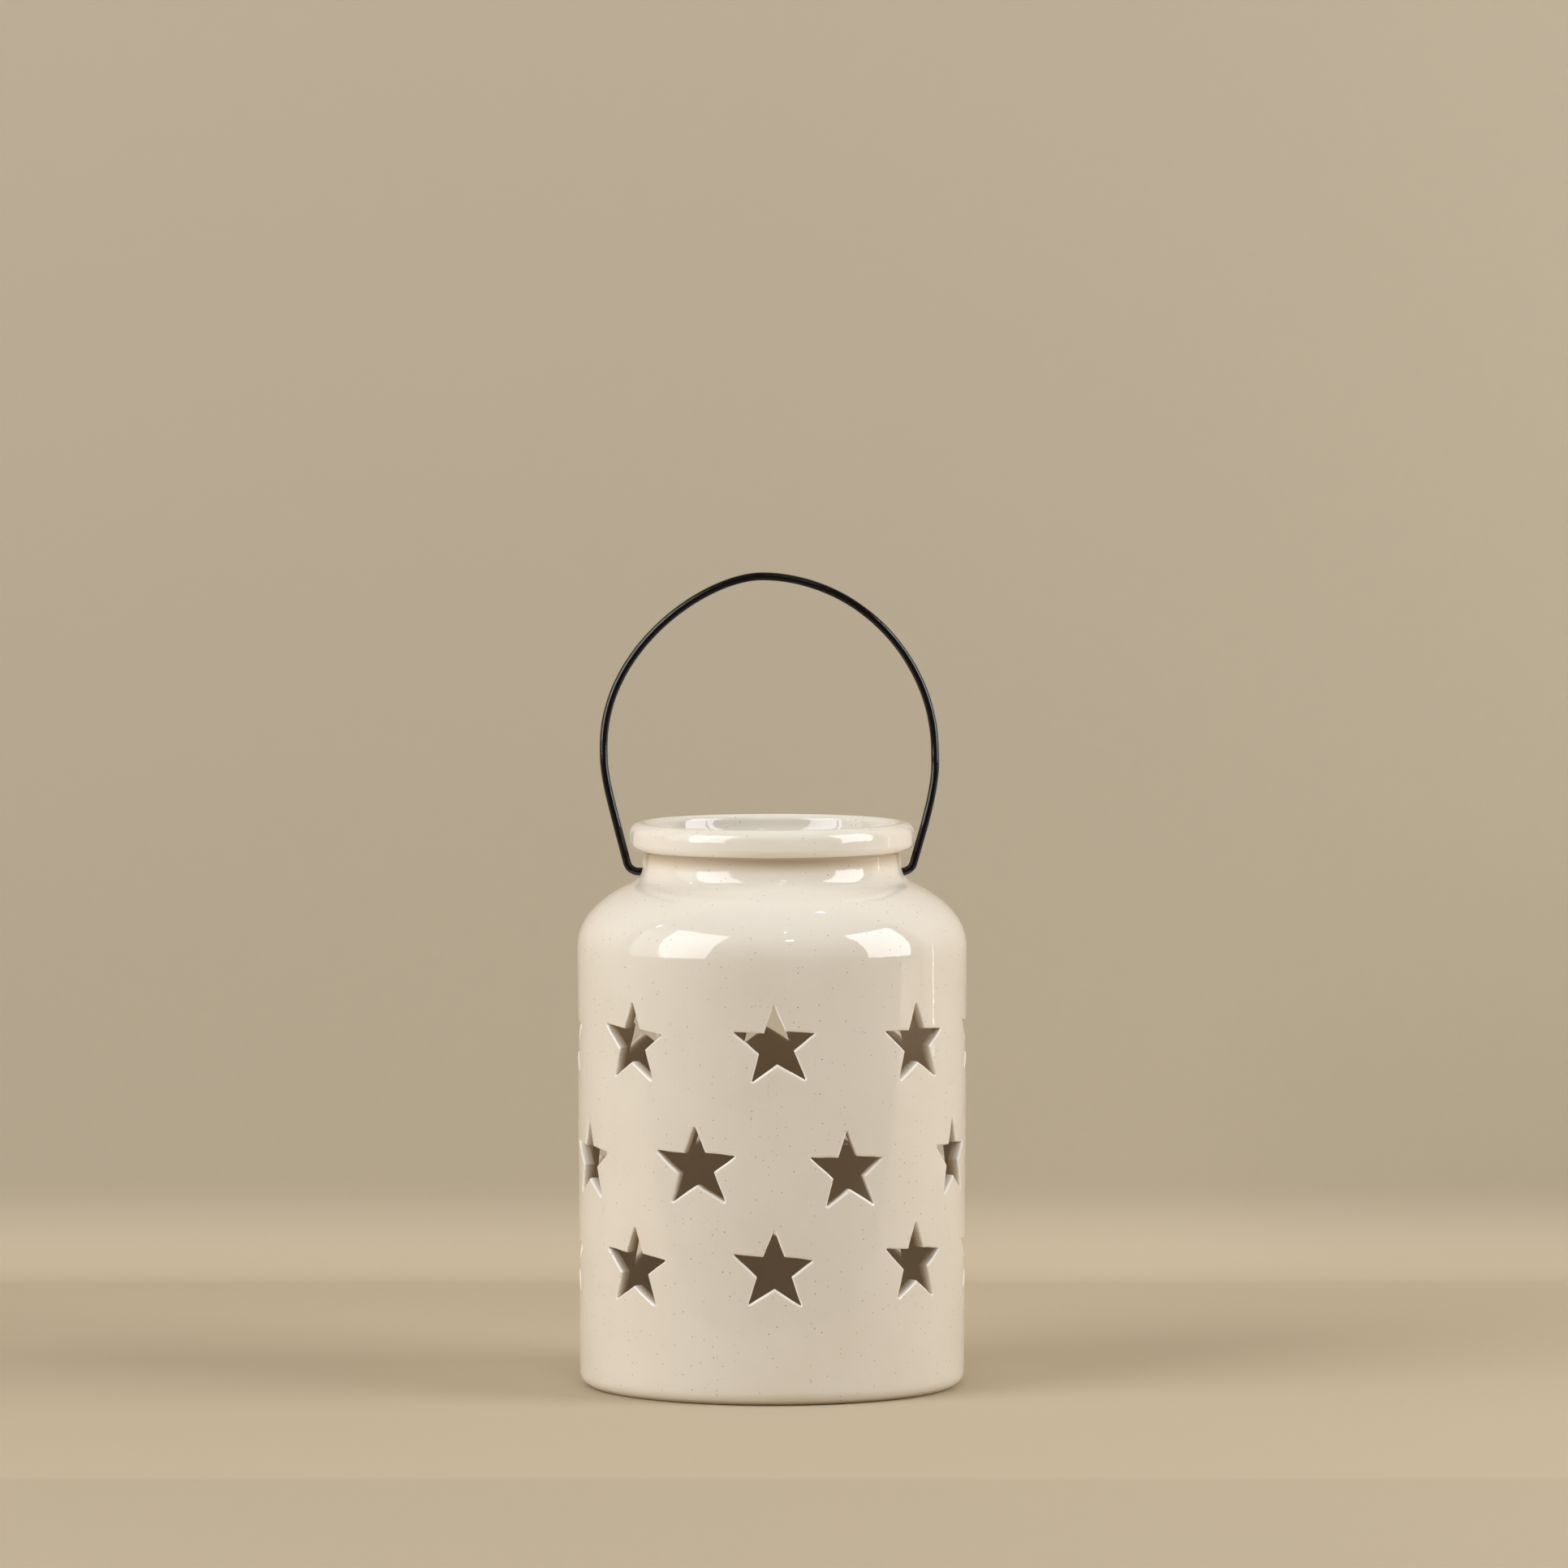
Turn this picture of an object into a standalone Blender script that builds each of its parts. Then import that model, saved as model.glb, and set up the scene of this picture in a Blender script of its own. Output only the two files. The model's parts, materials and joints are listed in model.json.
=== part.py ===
"""Ceramic lantern: a glazed pot with star windows, a swinging wire handle and a tealight inside.

The origin is the middle of the pot's foot, on the surface that it stands on. +Z is up, the front is
towards -Y, and the handle swings about a line along X through the neck. All sizes are in metres.
"""

import math
from dataclasses import dataclass

import bmesh
import bpy
from mathutils import Matrix, Vector
from mathutils.geometry import interpolate_bezier

# Pot: wall, floor and foot
WALL_RADIUS = 0.0727
WALL_TAPER = 0.0008
WALL_HEIGHT = 0.1642
WALL_THICKNESS = 0.0045
FLOOR_THICKNESS = 0.0055
FLOOR_ROUND = 0.007
FOOT_ROUND = 0.005
FOOT_RING_WIDTH = 0.009
FOOT_RECESS = 0.0008

# Pot: shoulder, from the top of the wall to the foot of the neck
SHOULDER_RISE = 0.0235
SHOULDER_SLOPE = math.radians(23.7)
SHOULDER_LOW_PULL = 0.506
SHOULDER_HIGH_PULL = 0.476

# Pot: neck, rolled rim and mouth
NECK_RADIUS = 0.0483
NECK_HEIGHT = 0.0124
NECK_FILLET = 0.0074
RIM_HEIGHT = 0.0104
RIM_OVERHANG = 0.00485
RIM_UPPER_ROUND = 0.0039
RIM_LOWER_ROUND = 0.0032
UNDER_RIM_ROUND = 0.0012
MOUTH_FLARE = 0.0028
MOUTH_FLARE_HEIGHT = 0.0059
MOUTH_ROUND = 0.0025

# Star windows
STARS_AROUND = 8
STAR_CORNERS = 10
STAR_TIP_RADIUS = 0.0156
STAR_NOTCH_RADIUS = 0.0066
LOW_STARS_HEIGHT = 0.0498
LOW_TO_MIDDLE_STARS = 0.0371
MIDDLE_TO_TOP_STARS = 0.0451
CUTTER_MARGIN = 0.003

# Wire handle
WIRE_DIAMETER = 0.003
WIRE_HOLE_CLEARANCE = 0.0007
PIVOT_ABOVE_NECK_FOOT = 0.0042
CROWN_ABOVE_PIVOT = 0.1102
CROWN_LEAN = -0.0034
LEFT_RIM_GAP = 0.0021
LEFT_BULGE = 0.00605
LEFT_WIDEST_ABOVE_PIVOT = 0.0471
RIGHT_RIM_GAP = 0.00105
RIGHT_BULGE = 0.0051
RIGHT_WIDEST_ABOVE_PIVOT = 0.0441
OUTER_BEND_RADIUS = 0.0045
INNER_BEND_RADIUS = 0.003
INNER_REACH = 0.0055
TIP_LENGTH = 0.0045

# Tealight
TEALIGHT_DIAMETER = 0.038
TEALIGHT_HEIGHT = 0.015
CUP_WALL = 0.0004
CUP_FOOT_ROUND = 0.0012
CUP_LIP = 0.0007
WAX_BELOW_LIP = 0.0025
WAX_BEVEL = 0.0012
WICK_DIAMETER = 0.0016
WICK_ABOVE_WAX = 0.0085
WICK_LEAN = 0.0016
SUSTAINER_DIAMETER = 0.013
SUSTAINER_SHEET = 0.0004
COLLAR_WALL = 0.0005
COLLAR_HEIGHT = 0.0035
SEAT_GAP = 0.0003

# How finely round shapes are divided
POT_SEGMENTS = 64
FOOT_STEPS = 4
FILLET_STEPS = 4
SHOULDER_STEPS = 7
HOLE_SEGMENTS = 20
ARCH_STEPS = 18
SHANK_STEPS = 9
BEND_STEPS = 6
WIRE_RESOLUTION = 3
TEALIGHT_SEGMENTS = 32
SMALL_ROUND_STEPS = 3
WICK_STEPS = 4
WICK_RESOLUTION = 2

# Heights and radii that follow from the sizes above
NECK_FOOT_HEIGHT = WALL_HEIGHT + SHOULDER_RISE
RIM_UNDERSIDE = NECK_FOOT_HEIGHT + NECK_HEIGHT
POT_HEIGHT = RIM_UNDERSIDE + RIM_HEIGHT
FOOT_RADIUS = WALL_RADIUS - WALL_TAPER
NECK_INNER_RADIUS = NECK_RADIUS - WALL_THICKNESS
MOUTH_RADIUS = NECK_INNER_RADIUS + MOUTH_FLARE
RIM_RADIUS = NECK_RADIUS + RIM_OVERHANG
WIRE_RADIUS = WIRE_DIAMETER / 2
PIVOT_HEIGHT = NECK_FOOT_HEIGHT + PIVOT_ABOVE_NECK_FOOT


@dataclass
class StarRing:
    """One ring of star windows: its height, and how far it is turned, in steps from star to star."""

    height: float
    shift: float


MIDDLE_STARS_HEIGHT = LOW_STARS_HEIGHT + LOW_TO_MIDDLE_STARS
STAR_RINGS = {
    "low": StarRing(LOW_STARS_HEIGHT, 0.0),
    "middle": StarRing(MIDDLE_STARS_HEIGHT, 0.5),
    "top": StarRing(MIDDLE_STARS_HEIGHT + MIDDLE_TO_TOP_STARS, 0.0),
}


@dataclass
class HandCut:
    """How far one star strays from an even layout: turn and roll in degrees, lift in metres."""

    turn: float
    lift: float
    roll: float
    width: float = 1.0


# Places count round from the front; the stars that aren't listed here stray by a gentle wave
HAND_CUTS = {
    ("low", -1): HandCut(0.2, -0.0008, 2.0, 0.99),
    ("low", 0): HandCut(0.7, 0.0, 1.3, 0.99),
    ("low", 1): HandCut(2.6, 0.0009, 0.9, 0.96),
    ("middle", -2): HandCut(-2.1, -0.0006, -1.0, 1.03),
    ("middle", -1): HandCut(-0.3, 0.0007, 0.8, 1.05),
    ("middle", 0): HandCut(0.7, -0.0008, -1.3, 0.99),
    ("middle", 1): HandCut(1.0, 0.0006, -1.5, 0.93),
    ("top", -1): HandCut(-0.4, -0.0001, 1.5, 0.98),
    ("top", 0): HandCut(1.2, 0.0004, -1.9, 1.05),
    ("top", 1): HandCut(2.8, -0.0003, -1.4, 1.01),
}
WAVE_STEP = 0.38
WAVE_TURN = 1.2
WAVE_LIFT = 0.0007
WAVE_ROLL = 1.8


@dataclass
class HandleLeg:
    """One side of the hand-bent wire: how it passes the rim, and the arch from there to the crown.

    The pulls shape the arch between its crown, its widest place and the rim. Each is the share of the
    width or height of its stretch that a Bezier handle reaches.
    """

    side: int
    rim_gap: float
    lean: float
    bulge: float
    widest_above_pivot: float
    crown_pull: float
    upper_pull: float
    lower_pull: float
    rim_pull: float


LEFT_LEG = HandleLeg(
    side=-1,
    rim_gap=LEFT_RIM_GAP,
    lean=math.radians(14.7),
    bulge=LEFT_BULGE,
    widest_above_pivot=LEFT_WIDEST_ABOVE_PIVOT,
    crown_pull=0.346,
    upper_pull=0.578,
    lower_pull=0.276,
    rim_pull=0.653,
)
RIGHT_LEG = HandleLeg(
    side=1,
    rim_gap=RIGHT_RIM_GAP,
    lean=math.radians(16.0),
    bulge=RIGHT_BULGE,
    widest_above_pivot=RIGHT_WIDEST_ABOVE_PIVOT,
    crown_pull=0.539,
    upper_pull=0.573,
    lower_pull=0.147,
    rim_pull=0.723,
)


def clear_scene():
    """Removes whatever the scene holds."""
    for item in list(bpy.data.objects):
        bpy.data.objects.remove(item, do_unlink=True)


def make_collection(name):
    """Returns a new collection, linked to the scene."""
    collection = bpy.data.collections.new(name)
    bpy.context.scene.collection.children.link(collection)
    return collection


def make_material(name, colour, roughness, metallic=0.0):
    """Returns a Principled material of one colour."""
    material = bpy.data.materials.new(name)
    material.use_nodes = True
    shader = material.node_tree.nodes["Principled BSDF"]
    shader.inputs["Base Color"].default_value = (*colour, 1.0)
    shader.inputs["Roughness"].default_value = roughness
    shader.inputs["Metallic"].default_value = metallic
    material.diffuse_color = (*colour, 1.0)
    return material


def make_object(name, data, collection, material=None):
    """Returns a new object in the collection, with its material."""
    item = bpy.data.objects.new(name, data)
    collection.objects.link(item)
    if material:
        data.materials.append(material)
    return item


def arc(centre_x, centre_z, radius, start, end, steps):
    """Returns the points of an arc; the angles are in degrees from +X."""
    angles = [math.radians(start + (end - start) * k / steps) for k in range(steps + 1)]
    return [(centre_x + radius * math.cos(a), centre_z + radius * math.sin(a)) for a in angles]


def bezier(start, start_pull, end_pull, end, steps):
    """Returns the points of a cubic Bezier stretch in the XZ plane."""
    corners = [Vector((x, 0.0, z)) for x, z in (start, start_pull, end_pull, end)]
    return [(point.x, point.z) for point in interpolate_bezier(*corners, steps + 1)]


def without_repeats(points, apart=1e-6):
    """Returns the points without those that lie on the one before them."""
    kept = [points[0]]
    for point in points[1:]:
        if math.dist(point, kept[-1]) > apart:
            kept.append(point)
    return kept


def inner_side(points, thickness):
    """Returns the points moved square to the outline, to its right, by the wall's thickness."""
    moved = []
    for k, (x, z) in enumerate(points):
        before = Vector(points[max(k - 1, 0)])
        after = Vector(points[min(k + 1, len(points) - 1)])
        along = (after - before).normalized()
        moved.append((x + along.y * thickness, z - along.x * thickness))
    return moved


def shoulder_outline():
    """Returns the outer outline from the neck down over its fillet and the shoulder to the wall."""
    slope = SHOULDER_SLOPE
    fillet_x = NECK_RADIUS + NECK_FILLET
    fillet_z = NECK_FOOT_HEIGHT + NECK_FILLET * math.cos(slope)
    fillet = arc(fillet_x, fillet_z, NECK_FILLET, 180, 270 - math.degrees(slope), FILLET_STEPS)
    start, end = fillet[-1], (WALL_RADIUS, WALL_HEIGHT)
    high_pull = SHOULDER_HIGH_PULL * (end[0] - start[0])
    start_pull = (start[0] + high_pull * math.cos(slope), start[1] - high_pull * math.sin(slope))
    end_pull = (end[0], end[1] + SHOULDER_LOW_PULL * SHOULDER_RISE)
    return without_repeats(fillet + bezier(start, start_pull, end_pull, end, SHOULDER_STEPS))


def lip_outline():
    """Returns the outline from inside the neck, over the rolled rim, to the neck below it."""
    upper_round = min(RIM_UPPER_ROUND, RIM_RADIUS - MOUTH_RADIUS - MOUTH_ROUND)
    lower_round = min(RIM_LOWER_ROUND, RIM_OVERHANG - UNDER_RIM_ROUND)
    points = [(NECK_INNER_RADIUS, RIM_UNDERSIDE), (MOUTH_RADIUS, RIM_UNDERSIDE + MOUTH_FLARE_HEIGHT)]
    points += arc(MOUTH_RADIUS + MOUTH_ROUND, POT_HEIGHT - MOUTH_ROUND, MOUTH_ROUND, 180, 90, 3)
    points += arc(RIM_RADIUS - upper_round, POT_HEIGHT - upper_round, upper_round, 90, 0, 4)
    points += arc(RIM_RADIUS - lower_round, RIM_UNDERSIDE + lower_round, lower_round, 0, -90, 3)
    under_x = NECK_RADIUS + UNDER_RIM_ROUND
    points += arc(under_x, RIM_UNDERSIDE - UNDER_RIM_ROUND, UNDER_RIM_ROUND, 90, 180, 2)
    return points


def pot_outline():
    """Returns the pot's section from the middle of its inside floor, over the rim, to its foot."""
    shoulder = shoulder_outline()
    floor_x = FOOT_RADIUS - WALL_THICKNESS - FLOOR_ROUND
    floor_z = FLOOR_THICKNESS + FLOOR_ROUND
    floor = [(0.0, FLOOR_THICKNESS)] + arc(floor_x, floor_z, FLOOR_ROUND, -90, 0, SMALL_ROUND_STEPS)
    inner_shoulder = list(reversed(inner_side(shoulder, WALL_THICKNESS)))
    foot = arc(FOOT_RADIUS - FOOT_ROUND, FOOT_ROUND, FOOT_ROUND, 0, -90, FOOT_STEPS)
    ring_inside = FOOT_RADIUS - FOOT_ROUND - FOOT_RING_WIDTH
    recess = [(ring_inside, 0.0), (ring_inside - FOOT_RECESS, FOOT_RECESS), (0.0, FOOT_RECESS)]
    return without_repeats(floor + inner_shoulder + lip_outline() + shoulder + foot + recess)


def turned_object(name, outline, segments, collection, material):
    """Makes an object by turning its section about Z; the section runs down the outer side."""
    mesh = bpy.data.meshes.new(name)
    section = bmesh.new()
    points = [section.verts.new((x, 0.0, z)) for x, z in outline]
    for before, after in zip(points, points[1:]):
        section.edges.new((before, after))
    section.to_mesh(mesh)
    section.free()
    item = make_object(name, mesh, collection, material)
    turn = item.modifiers.new("Turn", "SCREW")
    turn.axis = "Z"
    turn.steps = segments
    turn.render_steps = segments
    turn.use_merge_vertices = True
    turn.merge_threshold = 1e-6
    turn.use_smooth_shade = True
    return item


def make_cutter(name, shape, collection):
    """Makes a hidden cutter object from a bmesh, and frees the bmesh."""
    mesh = bpy.data.meshes.new(name)
    shape.to_mesh(mesh)
    shape.free()
    cutter = make_object(name, mesh, collection)
    cutter.hide_render = True
    cutter.display_type = "WIRE"
    return cutter


def hand_cut(ring_name, place):
    """Returns how far the star at this place strays from an even layout."""
    if (ring_name, place) in HAND_CUTS:
        return HAND_CUTS[(ring_name, place)]
    wave = math.tau * (WAVE_STEP * place + STAR_RINGS[ring_name].height / MIDDLE_TO_TOP_STARS)
    turn, lift, roll = math.sin(wave), math.cos(2 * wave), math.sin(3 * wave)
    return HandCut(WAVE_TURN * turn, WAVE_LIFT * lift, WAVE_ROLL * roll)


def make_star_cutter(ring_name, place, collection):
    """Makes the cutter of one star window; its prism points out from the pot's axis."""
    ring, cut = STAR_RINGS[ring_name], hand_cut(ring_name, place)
    inner_wall = FOOT_RADIUS - WALL_THICKNESS
    near = math.sqrt(inner_wall**2 - STAR_TIP_RADIUS**2) - CUTTER_MARGIN
    far = WALL_RADIUS + CUTTER_MARGIN
    star = bmesh.new()
    disc = bmesh.ops.create_circle(star, cap_ends=True, segments=STAR_CORNERS, radius=STAR_TIP_RADIUS)
    for k, corner in enumerate(disc["verts"]):
        reach = STAR_NOTCH_RADIUS if k % 2 else STAR_TIP_RADIUS
        angle = math.tau * k / STAR_CORNERS
        corner.co = (reach * cut.width * math.sin(angle), reach * math.cos(angle), near)
    pushed = bmesh.ops.extrude_face_region(star, geom=star.faces[:])["geom"]
    far_corners = [part for part in pushed if isinstance(part, bmesh.types.BMVert)]
    bmesh.ops.translate(star, verts=far_corners, vec=(0.0, 0.0, far - near))
    bmesh.ops.recalc_face_normals(star, faces=star.faces[:])
    cutter = make_cutter(f"star_{ring_name}_{place % STARS_AROUND}", star, collection)
    azimuth = math.tau * (place + ring.shift) / STARS_AROUND + math.radians(cut.turn)
    height = Matrix.Translation((0.0, 0.0, ring.height + cut.lift))
    turn = Matrix.Rotation(azimuth, 4, "Z")
    upright = Matrix.Rotation(math.radians(90), 4, "X")
    roll = Matrix.Rotation(-math.radians(cut.roll), 4, "Z")
    cutter.matrix_world = height @ turn @ upright @ roll


def make_hole_cutter(collection):
    """Makes the drill that goes through both sides of the neck for the wire."""
    drill = bmesh.new()
    radius = WIRE_RADIUS + WIRE_HOLE_CLEARANCE
    bmesh.ops.create_cone(
        drill,
        cap_ends=True,
        segments=HOLE_SEGMENTS,
        radius1=radius,
        radius2=radius,
        depth=2 * (NECK_RADIUS + NECK_FILLET),
        matrix=Matrix.Rotation(math.radians(90), 4, "Y"),
    )
    cutter = make_cutter("wire_hole_drill", drill, collection)
    cutter.location.z = PIVOT_HEIGHT


def make_pot(parts, cutters, material):
    """Makes the pot and cuts its star windows and the wire's holes."""
    pot = turned_object("ceramic_pot", pot_outline(), POT_SEGMENTS, parts, material)
    first = -(STARS_AROUND // 2)
    for ring_name in STAR_RINGS:
        for place in range(first, first + STARS_AROUND):
            make_star_cutter(ring_name, place, cutters)
    make_hole_cutter(cutters)
    cut = pot.modifiers.new("Windows and holes", "BOOLEAN")
    cut.operation = "DIFFERENCE"
    cut.operand_type = "COLLECTION"
    cut.collection = cutters
    cut.solver = "EXACT"


def leg_path(leg):
    """Returns one side of the wire's centre line, from the crown to its tip inside the neck.

    Heights are above the pivot.
    """
    crown = (CROWN_LEAN, CROWN_ABOVE_PIVOT)
    rim_up = POT_HEIGHT - RIM_HEIGHT / 2 - PIVOT_HEIGHT
    rim_x = RIM_RADIUS + WIRE_RADIUS + leg.rim_gap
    half_width = rim_x + leg.bulge
    widest = (leg.side * half_width, leg.widest_above_pivot)
    beside_rim = (leg.side * rim_x, rim_up)
    above, below = crown[1] - widest[1], widest[1] - rim_up
    crown_pull = (crown[0] + leg.side * leg.crown_pull * half_width, crown[1])
    upper_pull = (widest[0], widest[1] + leg.upper_pull * above)
    arch = bezier(crown, crown_pull, upper_pull, widest, ARCH_STEPS)
    lower_pull = (widest[0], widest[1] - leg.lower_pull * below)
    outwards, upwards = leg.side * math.sin(leg.lean), math.cos(leg.lean)
    rim_reach = leg.rim_pull * below
    rim_pull = (beside_rim[0] + outwards * rim_reach, beside_rim[1] + upwards * rim_reach)
    shank = bezier(widest, lower_pull, rim_pull, beside_rim, SHANK_STEPS)
    lean_degrees = math.degrees(leg.lean)
    corner_x = rim_x - rim_up * math.tan(leg.lean)
    bend_x = corner_x - OUTER_BEND_RADIUS * math.tan(math.radians(90 - lean_degrees) / 2)
    bend = arc(bend_x, OUTER_BEND_RADIUS, OUTER_BEND_RADIUS, -lean_degrees, -90, BEND_STEPS)
    tip_x = NECK_INNER_RADIUS - INNER_REACH
    tip = arc(tip_x + INNER_BEND_RADIUS, INNER_BEND_RADIUS, INNER_BEND_RADIUS, -90, -180, BEND_STEPS)
    tip.append((tip_x, INNER_BEND_RADIUS + TIP_LENGTH))
    return without_repeats(arch + shank + [(leg.side * x, z) for x, z in bend + tip])


def make_wire(name, path, radius, resolution, collection, material):
    """Makes a round wire along a path in the XZ plane, with closed ends."""
    curve = bpy.data.curves.new(name, "CURVE")
    curve.dimensions = "3D"
    curve.bevel_depth = radius
    curve.bevel_resolution = resolution
    curve.use_fill_caps = True
    spline = curve.splines.new("POLY")
    spline.points.add(len(path) - 1)
    for point, (x, z) in zip(spline.points, path):
        point.co = (x, 0.0, z, 1.0)
    return make_object(name, curve, collection, material)


def make_handle(parts, material):
    """Makes the wire handle; its origin is the middle of the line that it swings about."""
    left, right = leg_path(LEFT_LEG), leg_path(RIGHT_LEG)
    path = list(reversed(left)) + right[1:]
    handle = make_wire("wire_handle", path, WIRE_RADIUS, WIRE_RESOLUTION, parts, material)
    handle.location.z = PIVOT_HEIGHT


def cup_outline():
    """Returns the tealight cup's section: a thin shell with a small lip turned out at its top."""
    outside = TEALIGHT_DIAMETER / 2 - CUP_LIP
    inside = outside - CUP_WALL
    inner_round = CUP_FOOT_ROUND - CUP_WALL
    floor = arc(inside - inner_round, CUP_FOOT_ROUND, inner_round, -90, 0, SMALL_ROUND_STEPS)
    lip = [
        (inside, TEALIGHT_HEIGHT),
        (outside + CUP_LIP, TEALIGHT_HEIGHT),
        (outside + CUP_LIP, TEALIGHT_HEIGHT - CUP_WALL),
        (outside, TEALIGHT_HEIGHT - CUP_WALL),
    ]
    foot = arc(outside - CUP_FOOT_ROUND, CUP_FOOT_ROUND, CUP_FOOT_ROUND, 0, -90, SMALL_ROUND_STEPS)
    return without_repeats([(0.0, CUP_WALL)] + floor + lip + foot + [(0.0, 0.0)])


def wax_outline():
    """Returns the wax's section: a disc with a wick hole, and a pocket below for the sustainer."""
    bottom = CUP_WALL + SEAT_GAP
    top = TEALIGHT_HEIGHT - WAX_BELOW_LIP
    outside = TEALIGHT_DIAMETER / 2 - CUP_LIP - CUP_WALL - SEAT_GAP
    wick_hole = WICK_DIAMETER / 2 + SEAT_GAP
    collar_hole = wick_hole + COLLAR_WALL + SEAT_GAP
    pocket = SUSTAINER_DIAMETER / 2 + SEAT_GAP
    pocket_top = bottom + SUSTAINER_SHEET + SEAT_GAP
    collar_top = pocket_top + COLLAR_HEIGHT
    return [
        (wick_hole, collar_top),
        (wick_hole, top),
        (outside - WAX_BEVEL, top),
        (outside, top - WAX_BEVEL / 2),
        (outside, bottom + WAX_BEVEL),
        (outside - WAX_BEVEL, bottom),
        (pocket, bottom),
        (pocket, pocket_top),
        (collar_hole, pocket_top),
        (collar_hole, collar_top),
        (wick_hole, collar_top),
    ]


def sustainer_outline():
    """Returns the wick sustainer's section: a sheet disc with a collar around the wick."""
    bottom = CUP_WALL + SEAT_GAP
    sheet_top = bottom + SUSTAINER_SHEET
    bore = WICK_DIAMETER / 2 + SEAT_GAP
    collar = bore + COLLAR_WALL
    return [
        (bore, bottom),
        (bore, sheet_top + COLLAR_HEIGHT),
        (collar, sheet_top + COLLAR_HEIGHT),
        (collar, sheet_top),
        (SUSTAINER_DIAMETER / 2, sheet_top),
        (SUSTAINER_DIAMETER / 2, bottom),
        (bore, bottom),
    ]


def wick_path():
    """Returns the wick's centre line: straight in the wax, leaning a little above it."""
    wax_top = TEALIGHT_HEIGHT - WAX_BELOW_LIP
    shares = [k / WICK_STEPS for k in range(1, WICK_STEPS + 1)]
    above_wax = [(WICK_LEAN * share**2, wax_top + WICK_ABOVE_WAX * share) for share in shares]
    return [(0.0, CUP_WALL + 2 * SEAT_GAP), (0.0, wax_top)] + above_wax


def make_tealight(parts, materials):
    """Makes the tealight, standing on the pot's floor under one parent empty."""
    stand = make_object("tealight", None, parts)
    stand.location.z = FLOOR_THICKNESS + SEAT_GAP
    pieces = [
        turned_object("tealight_cup", cup_outline(), TEALIGHT_SEGMENTS, parts, materials["foil"]),
        turned_object("tealight_wax", wax_outline(), TEALIGHT_SEGMENTS, parts, materials["wax"]),
        turned_object("wick_sustainer", sustainer_outline(), TEALIGHT_SEGMENTS, parts, materials["tin"]),
        make_wire("tealight_wick", wick_path(), WICK_DIAMETER / 2, WICK_RESOLUTION, parts, materials["wick"]),
    ]
    for piece in pieces:
        piece.parent = stand


def main():
    """Builds the lantern."""
    clear_scene()
    parts = make_collection("ceramic_lantern")
    cutters = make_collection("lantern_cutters")
    materials = {
        "glaze": make_material("cream_glaze", (0.74, 0.68, 0.58), 0.12),
        "wire": make_material("black_wire", (0.012, 0.011, 0.010), 0.25, 0.3),
        "foil": make_material("tealight_foil", (0.80, 0.81, 0.82), 0.30, 1.0),
        "wax": make_material("wax", (0.86, 0.84, 0.79), 0.45),
        "wick": make_material("wick", (0.80, 0.77, 0.70), 0.90),
        "tin": make_material("tinned_steel", (0.62, 0.62, 0.60), 0.35, 1.0),
    }
    make_pot(parts, cutters, materials["glaze"])
    make_handle(parts, materials["wire"])
    make_tealight(parts, materials)
    bpy.context.view_layer.update()


main()
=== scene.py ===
"""Dresses a star lantern: a glazed ceramic pot, its black wire handle and the tealight inside.

Every size is in metres, +Z is up and the pot's front looks towards -Y. An azimuth is an angle
about Z, from the front towards +X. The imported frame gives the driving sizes, and each class
holds the finer ones of its own sub-assembly.
"""

import json
import logging
import math
from abc import ABC, abstractmethod
from dataclasses import dataclass, field
from enum import Enum
from typing import Any, Callable, Iterable, Sequence

import bmesh
import bpy
import numpy as np
from bmesh.types import BMesh, BMVert
from mathutils import Matrix, Vector, noise
from mathutils.geometry import interpolate_bezier


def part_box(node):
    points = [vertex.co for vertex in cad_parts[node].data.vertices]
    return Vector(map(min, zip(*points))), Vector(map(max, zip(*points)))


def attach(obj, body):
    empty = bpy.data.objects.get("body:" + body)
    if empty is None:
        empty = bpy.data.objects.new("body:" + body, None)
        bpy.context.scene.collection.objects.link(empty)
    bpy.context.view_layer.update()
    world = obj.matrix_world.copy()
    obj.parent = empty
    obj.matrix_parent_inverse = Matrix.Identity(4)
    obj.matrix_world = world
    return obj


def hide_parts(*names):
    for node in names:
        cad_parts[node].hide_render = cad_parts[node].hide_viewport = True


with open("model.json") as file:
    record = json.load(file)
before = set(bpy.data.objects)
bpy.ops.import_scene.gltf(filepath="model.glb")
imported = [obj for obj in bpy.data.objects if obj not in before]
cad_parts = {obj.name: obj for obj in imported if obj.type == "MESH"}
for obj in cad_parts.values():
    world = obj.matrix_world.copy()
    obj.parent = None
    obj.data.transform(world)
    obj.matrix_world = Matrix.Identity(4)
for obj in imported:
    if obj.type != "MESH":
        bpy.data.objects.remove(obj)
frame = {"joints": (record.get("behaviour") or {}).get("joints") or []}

MM = 0.001
FULL_TURN = math.tau
SAME_PLACE = 1e-7
WELD_REACH = 1e-6
# Without a seed, noise_vector takes its offsets from the clock and each run differs a little
NOISE_SEED = 7
# The vertex attribute that says how far a vertex lies on a cut's rounded edge; the glaze paints its edge
# highlight by it
CUT_EDGE = "cut_edge"
log = logging.getLogger("star_lantern")

Place = tuple[float, float]
Colour = tuple[float, float, float]
Ring = tuple[Sequence[Vector], float]


class Body(Enum):
    """The bodies that the pieces ride on."""

    POT = "pot"
    HANDLE = "handle"
    TEALIGHT = "tealight"


class Skin(Enum):
    """The two sides of the pot's wall."""

    OUTER = "outer"
    INNER = "inner"


class Side(Enum):
    """The lantern's left and right, as the sign of X."""

    LEFT = -1
    RIGHT = 1


class SocketKind(Enum):
    """The kinds of socket that the shared node groups have."""

    VECTOR = "NodeSocketVector"
    COLOUR = "NodeSocketColor"
    FLOAT = "NodeSocketFloat"


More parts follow.
